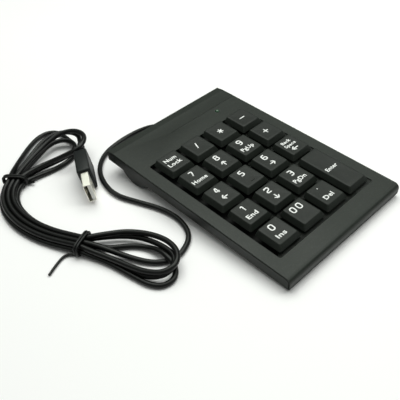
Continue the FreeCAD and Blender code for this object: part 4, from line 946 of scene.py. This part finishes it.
class KEYPAD_OT_keys(bpy.types.Operator):
    """Mould the key caps with their stems, and print the legends."""
    bl_idname = "keypad.keys"
    bl_label = "Keys"

    def execute(self, context):
        looks = context.scene.keypad_keys
        plastic = finish("key_plastic", looks.plastic, 0.5, grain=0.35, grain_scale=2400.0,
                         patch_scale=60.0, spread=1.1, wear=0.35, dust=0.03,
                         Specular_IOR_Level=0.3)
        white = finish("legend_print", looks.print_colour, 0.5, grain=0.2, spread=1.02)
        nib = self.nib(looks.stroke)
        for node in sorted(frame["nodes"]):
            if node.startswith("key_") and node != "key_guide":
                self.make_key(node, looks, plastic, white, nib)
        bpy.data.objects.remove(nib)
        return {"FINISHED"}

    @staticmethod
    def nib(stroke):
        """A short flat line that a stroke is swept with."""
        curve = bpy.data.curves.new("nib", "CURVE")
        curve.dimensions = "2D"
        spline = curve.splines.new("POLY")
        spline.points.add(1)
        for control, x in zip(spline.points, (-stroke / 2, stroke / 2)):
            control.co = (x, 0.0, 0.0, 1.0)
        nib = bpy.data.objects.new("nib", curve)
        bpy.context.scene.collection.objects.link(nib)
        return nib

    def make_key(self, node, looks, plastic, white, nib):
        """One cap with its stem and lugs, and its legend laid on the dish."""
        name = node[len("key_"):]
        low, high = flat_box(node)
        centre = (low + high) / 2
        half = (high - low) / 2
        shape = bmesh.new()
        add_key_cap(shape, centre, half, looks)
        surface = BVHTree.FromBMesh(shape)
        stem_low, stem_high = low.z, KEY_TOP - 0.65 * MM
        add_rod(shape, centre.x, centre.y, stem_low, stem_high, 2.5 * MM)
        lug = stem_low + 0.45 * MM
        add_block(shape, (centre.x - 3.3 * MM, centre.y - 0.7 * MM, lug),
                  (centre.x + 3.3 * MM, centre.y + 0.7 * MM, lug + 1.1 * MM))
        if name == "enter":
            for offset in (-12.0 * MM, 12.0 * MM):
                add_rod(shape, centre.x, centre.y + offset, lug, stem_high, 1.5 * MM, 20)
        if name == "5":
            bar = add_block(shape, (centre.x - 1.2 * MM, low.y + 4.0 * MM, KEY_TOP - 0.4 * MM),
                            (centre.x + 1.2 * MM, low.y + 4.6 * MM, KEY_TOP + 0.2 * MM))
            round_off(shape, edges_between(bar), 0.2 * MM, 2)
        cap = closed_mesh(f"cap_{name}", shape, TILT, 28.0)
        finished(f"cap_{name}", cap, plastic, node, [node])

        page = bmesh.new()
        for mark, x, y, width, height in LEGENDS[name]:
            if mark in GLYPHS or mark in TURNS:
                drawn = glyph_mesh(mark, width * MM, height * MM, looks.stroke, nib)
            else:
                drawn = word_mesh(mark, width * MM, height * MM)
            drawn.transform(Matrix.Translation((centre.x + x * MM, centre.y + y * MM, 0.0)))
            page.from_mesh(drawn)
            bpy.data.meshes.remove(drawn)
        bmesh.ops.remove_doubles(page, verts=page.verts[:], dist=1e-6)
        for vert in page.verts:
            hit = surface.ray_cast(Vector((vert.co.x, vert.co.y, KEY_TOP + 0.01)), Vector((0, 0, -1)))
            vert.co.z = hit[0].z + INK_LIFT
        for face in page.faces:
            face.normal_update()
            if face.normal.z < 0:
                face.normal_flip()
        bmesh.ops.transform(page, matrix=TILT, verts=page.verts[:])
        mesh = bpy.data.meshes.new(f"legend_{name}")
        page.to_mesh(mesh)
        page.free()
        legend = finished(f"legend_{name}", mesh, white, node)
        film = legend.modifiers.new("ink", "SOLIDIFY")
        film.thickness = INK_THICKNESS
        film.offset = -1.0


# ---------------------------------------------------------------------------------------------
# Case, lamp, underside and what lies inside.

class KEYPAD_OT_case(bpy.types.Operator):
    """Soften and finish the deck and the tray."""
    bl_idname = "keypad.case"
    bl_label = "Case"

    def execute(self, context):
        looks = context.scene.keypad_case
        plastic = finish("case_plastic", looks.plastic, 0.46, grain=0.35, patch_scale=28.0,
                         spread=1.12, wear=0.3, dust=0.03, Specular_IOR_Level=0.3)
        softened("top_cover", "deck", plastic, looks.edge)
        softened("bottom_cover", "tray", plastic, looks.edge)
        return {"FINISHED"}


class KEYPAD_OT_lamp(bpy.types.Operator):
    """Finish the green lamp, and lay a dark ring round it as painted shadow."""
    bl_idname = "keypad.lamp"
    bl_label = "Lamp"

    def execute(self, context):
        looks = context.scene.keypad_case
        lens = finish("lamp_green", looks.lamp, 0.18, grain=0.02, spread=1.3, coat=0.6)
        painted("led_lens", lens)
        # The dark ring round the lens is painted shadow: it stands for the shade round the lamp, not for a part of
        # the case.
        low, high = flat_box("led_lens")
        middle = (low + high) / 2
        shape = bmesh.new()
        inner, outer = 1.55 * MM, 2.0 * MM
        bottom, top = DECK_TOP - 0.6 * MM, DECK_TOP + 0.04 * MM
        profile = [(bottom, inner), (bottom, outer), (top, outer), (top, inner), (bottom, inner)]
        upright = Matrix.Translation((middle.x, middle.y, 0.0)) @ Matrix.Rotation(-math.pi / 2, 4, "Y")
        add_turned(shape, profile, TILT @ upright, 36)
        dark = finish("lamp_shadow_ring", (0.012, 0.013, 0.012), 0.5, grain=0.1)
        finished("lamp_shadow_ring", closed_mesh("lamp_shadow_ring", shape), dark)
        return {"FINISHED"}


class KEYPAD_OT_underside(bpy.types.Operator):
    """Finish the feet, the rubber strips and the screws."""
    bl_idname = "keypad.underside"
    bl_label = "Underside"

    def execute(self, context):
        rubber = finish("foot_rubber", (0.022, 0.022, 0.023), 0.75, grain=0.5, grain_scale=1800.0,
                        spread=1.2, dust=0.1)
        softened("front_feet", "feet", rubber, 0.3 * MM)
        softened("rear_strips", "strips", rubber, 0.3 * MM)
        steel = drawn_metal("zinc_steel", (0.52, 0.53, 0.55), 0.35)
        softened("case_screws", "screws_below", steel, 0.08 * MM)
        painted("inner_screws", steel)
        painted("clamp_bar", steel)
        return {"FINISHED"}


class KEYPAD_OT_inside(bpy.types.Operator):
    """Finish the key guide, the domes, the films and the board."""
    bl_idname = "keypad.inside"
    bl_label = "Inside"

    def execute(self, context):
        guide = finish("guide_plastic", (0.004, 0.004, 0.004), 0.7, grain=0.3, spread=1.15,
                       Specular_IOR_Level=0.2)
        painted("key_guide", guide)
        silicone = finish("dome_silicone", (0.5, 0.5, 0.47), 0.4, grain=0.1, spread=1.05)
        for node in frame["nodes"]:
            if node.startswith("dome_"):
                painted(node, silicone)
        for node, scale in (("film_upper", 260.0), ("film_spacer", 60.0), ("film_lower", 240.0)):
            printed = patterned(f"{node}_print", (0.62, 0.64, 0.62), (0.42, 0.43, 0.44), 0.25,
                                "ShaderNodeTexWave", Scale=scale, Distortion=3.0)
            painted(node, printed)
        painted("controller_board", patterned(
            "board_lacquer", (0.03, 0.13, 0.05), (0.05, 0.2, 0.08), 0.35,
            "ShaderNodeTexVoronoi", Scale=420.0))
        painted("controller_chip", finish("chip_resin", (0.012, 0.012, 0.013), 0.25, grain=0.05))
        painted("inner_lead", jacket_finish(context))
        return {"FINISHED"}


# ---------------------------------------------------------------------------------------------
# Panel and registration.

STEPS = [
    KEYPAD_OT_stage, KEYPAD_OT_lead, KEYPAD_OT_ties, KEYPAD_OT_strain_relief, KEYPAD_OT_plug,
    KEYPAD_OT_case, KEYPAD_OT_keys, KEYPAD_OT_lamp, KEYPAD_OT_underside, KEYPAD_OT_inside,
]
SETTINGS = {
    "keypad_case": KeypadCase, "keypad_keys": KeypadKeys, "keypad_lead": KeypadLead,
    "keypad_stage": KeypadStage,
}


class KEYPAD_PT_panel(bpy.types.Panel):
    """Settings and steps of the keypad."""
    bl_label = "Numeric Keypad"
    bl_space_type = "VIEW_3D"
    bl_region_type = "UI"
    bl_category = "Keypad"

    def draw(self, context):
        for name, settings in SETTINGS.items():
            column = self.layout.box().column(align=True)
            for prop in settings.__annotations__:
                column.prop(getattr(context.scene, name), prop)
        for step in STEPS:
            self.layout.operator(step.bl_idname)


def register():
    for settings in SETTINGS.values():
        bpy.utils.register_class(settings)
    for name, settings in SETTINGS.items():
        setattr(bpy.types.Scene, name, bpy.props.PointerProperty(type=settings))
    for step in STEPS:
        bpy.utils.register_class(step)
    bpy.utils.register_class(KEYPAD_PT_panel)


def unregister():
    bpy.utils.unregister_class(KEYPAD_PT_panel)
    for step in reversed(STEPS):
        bpy.utils.unregister_class(step)
    for name, settings in SETTINGS.items():
        delattr(bpy.types.Scene, name)
        bpy.utils.unregister_class(settings)


def main():
    register()
    for step in STEPS:
        family, _, verb = step.bl_idname.partition(".")
        getattr(getattr(bpy.ops, family), verb)()


if __name__ == "__main__":
    main()
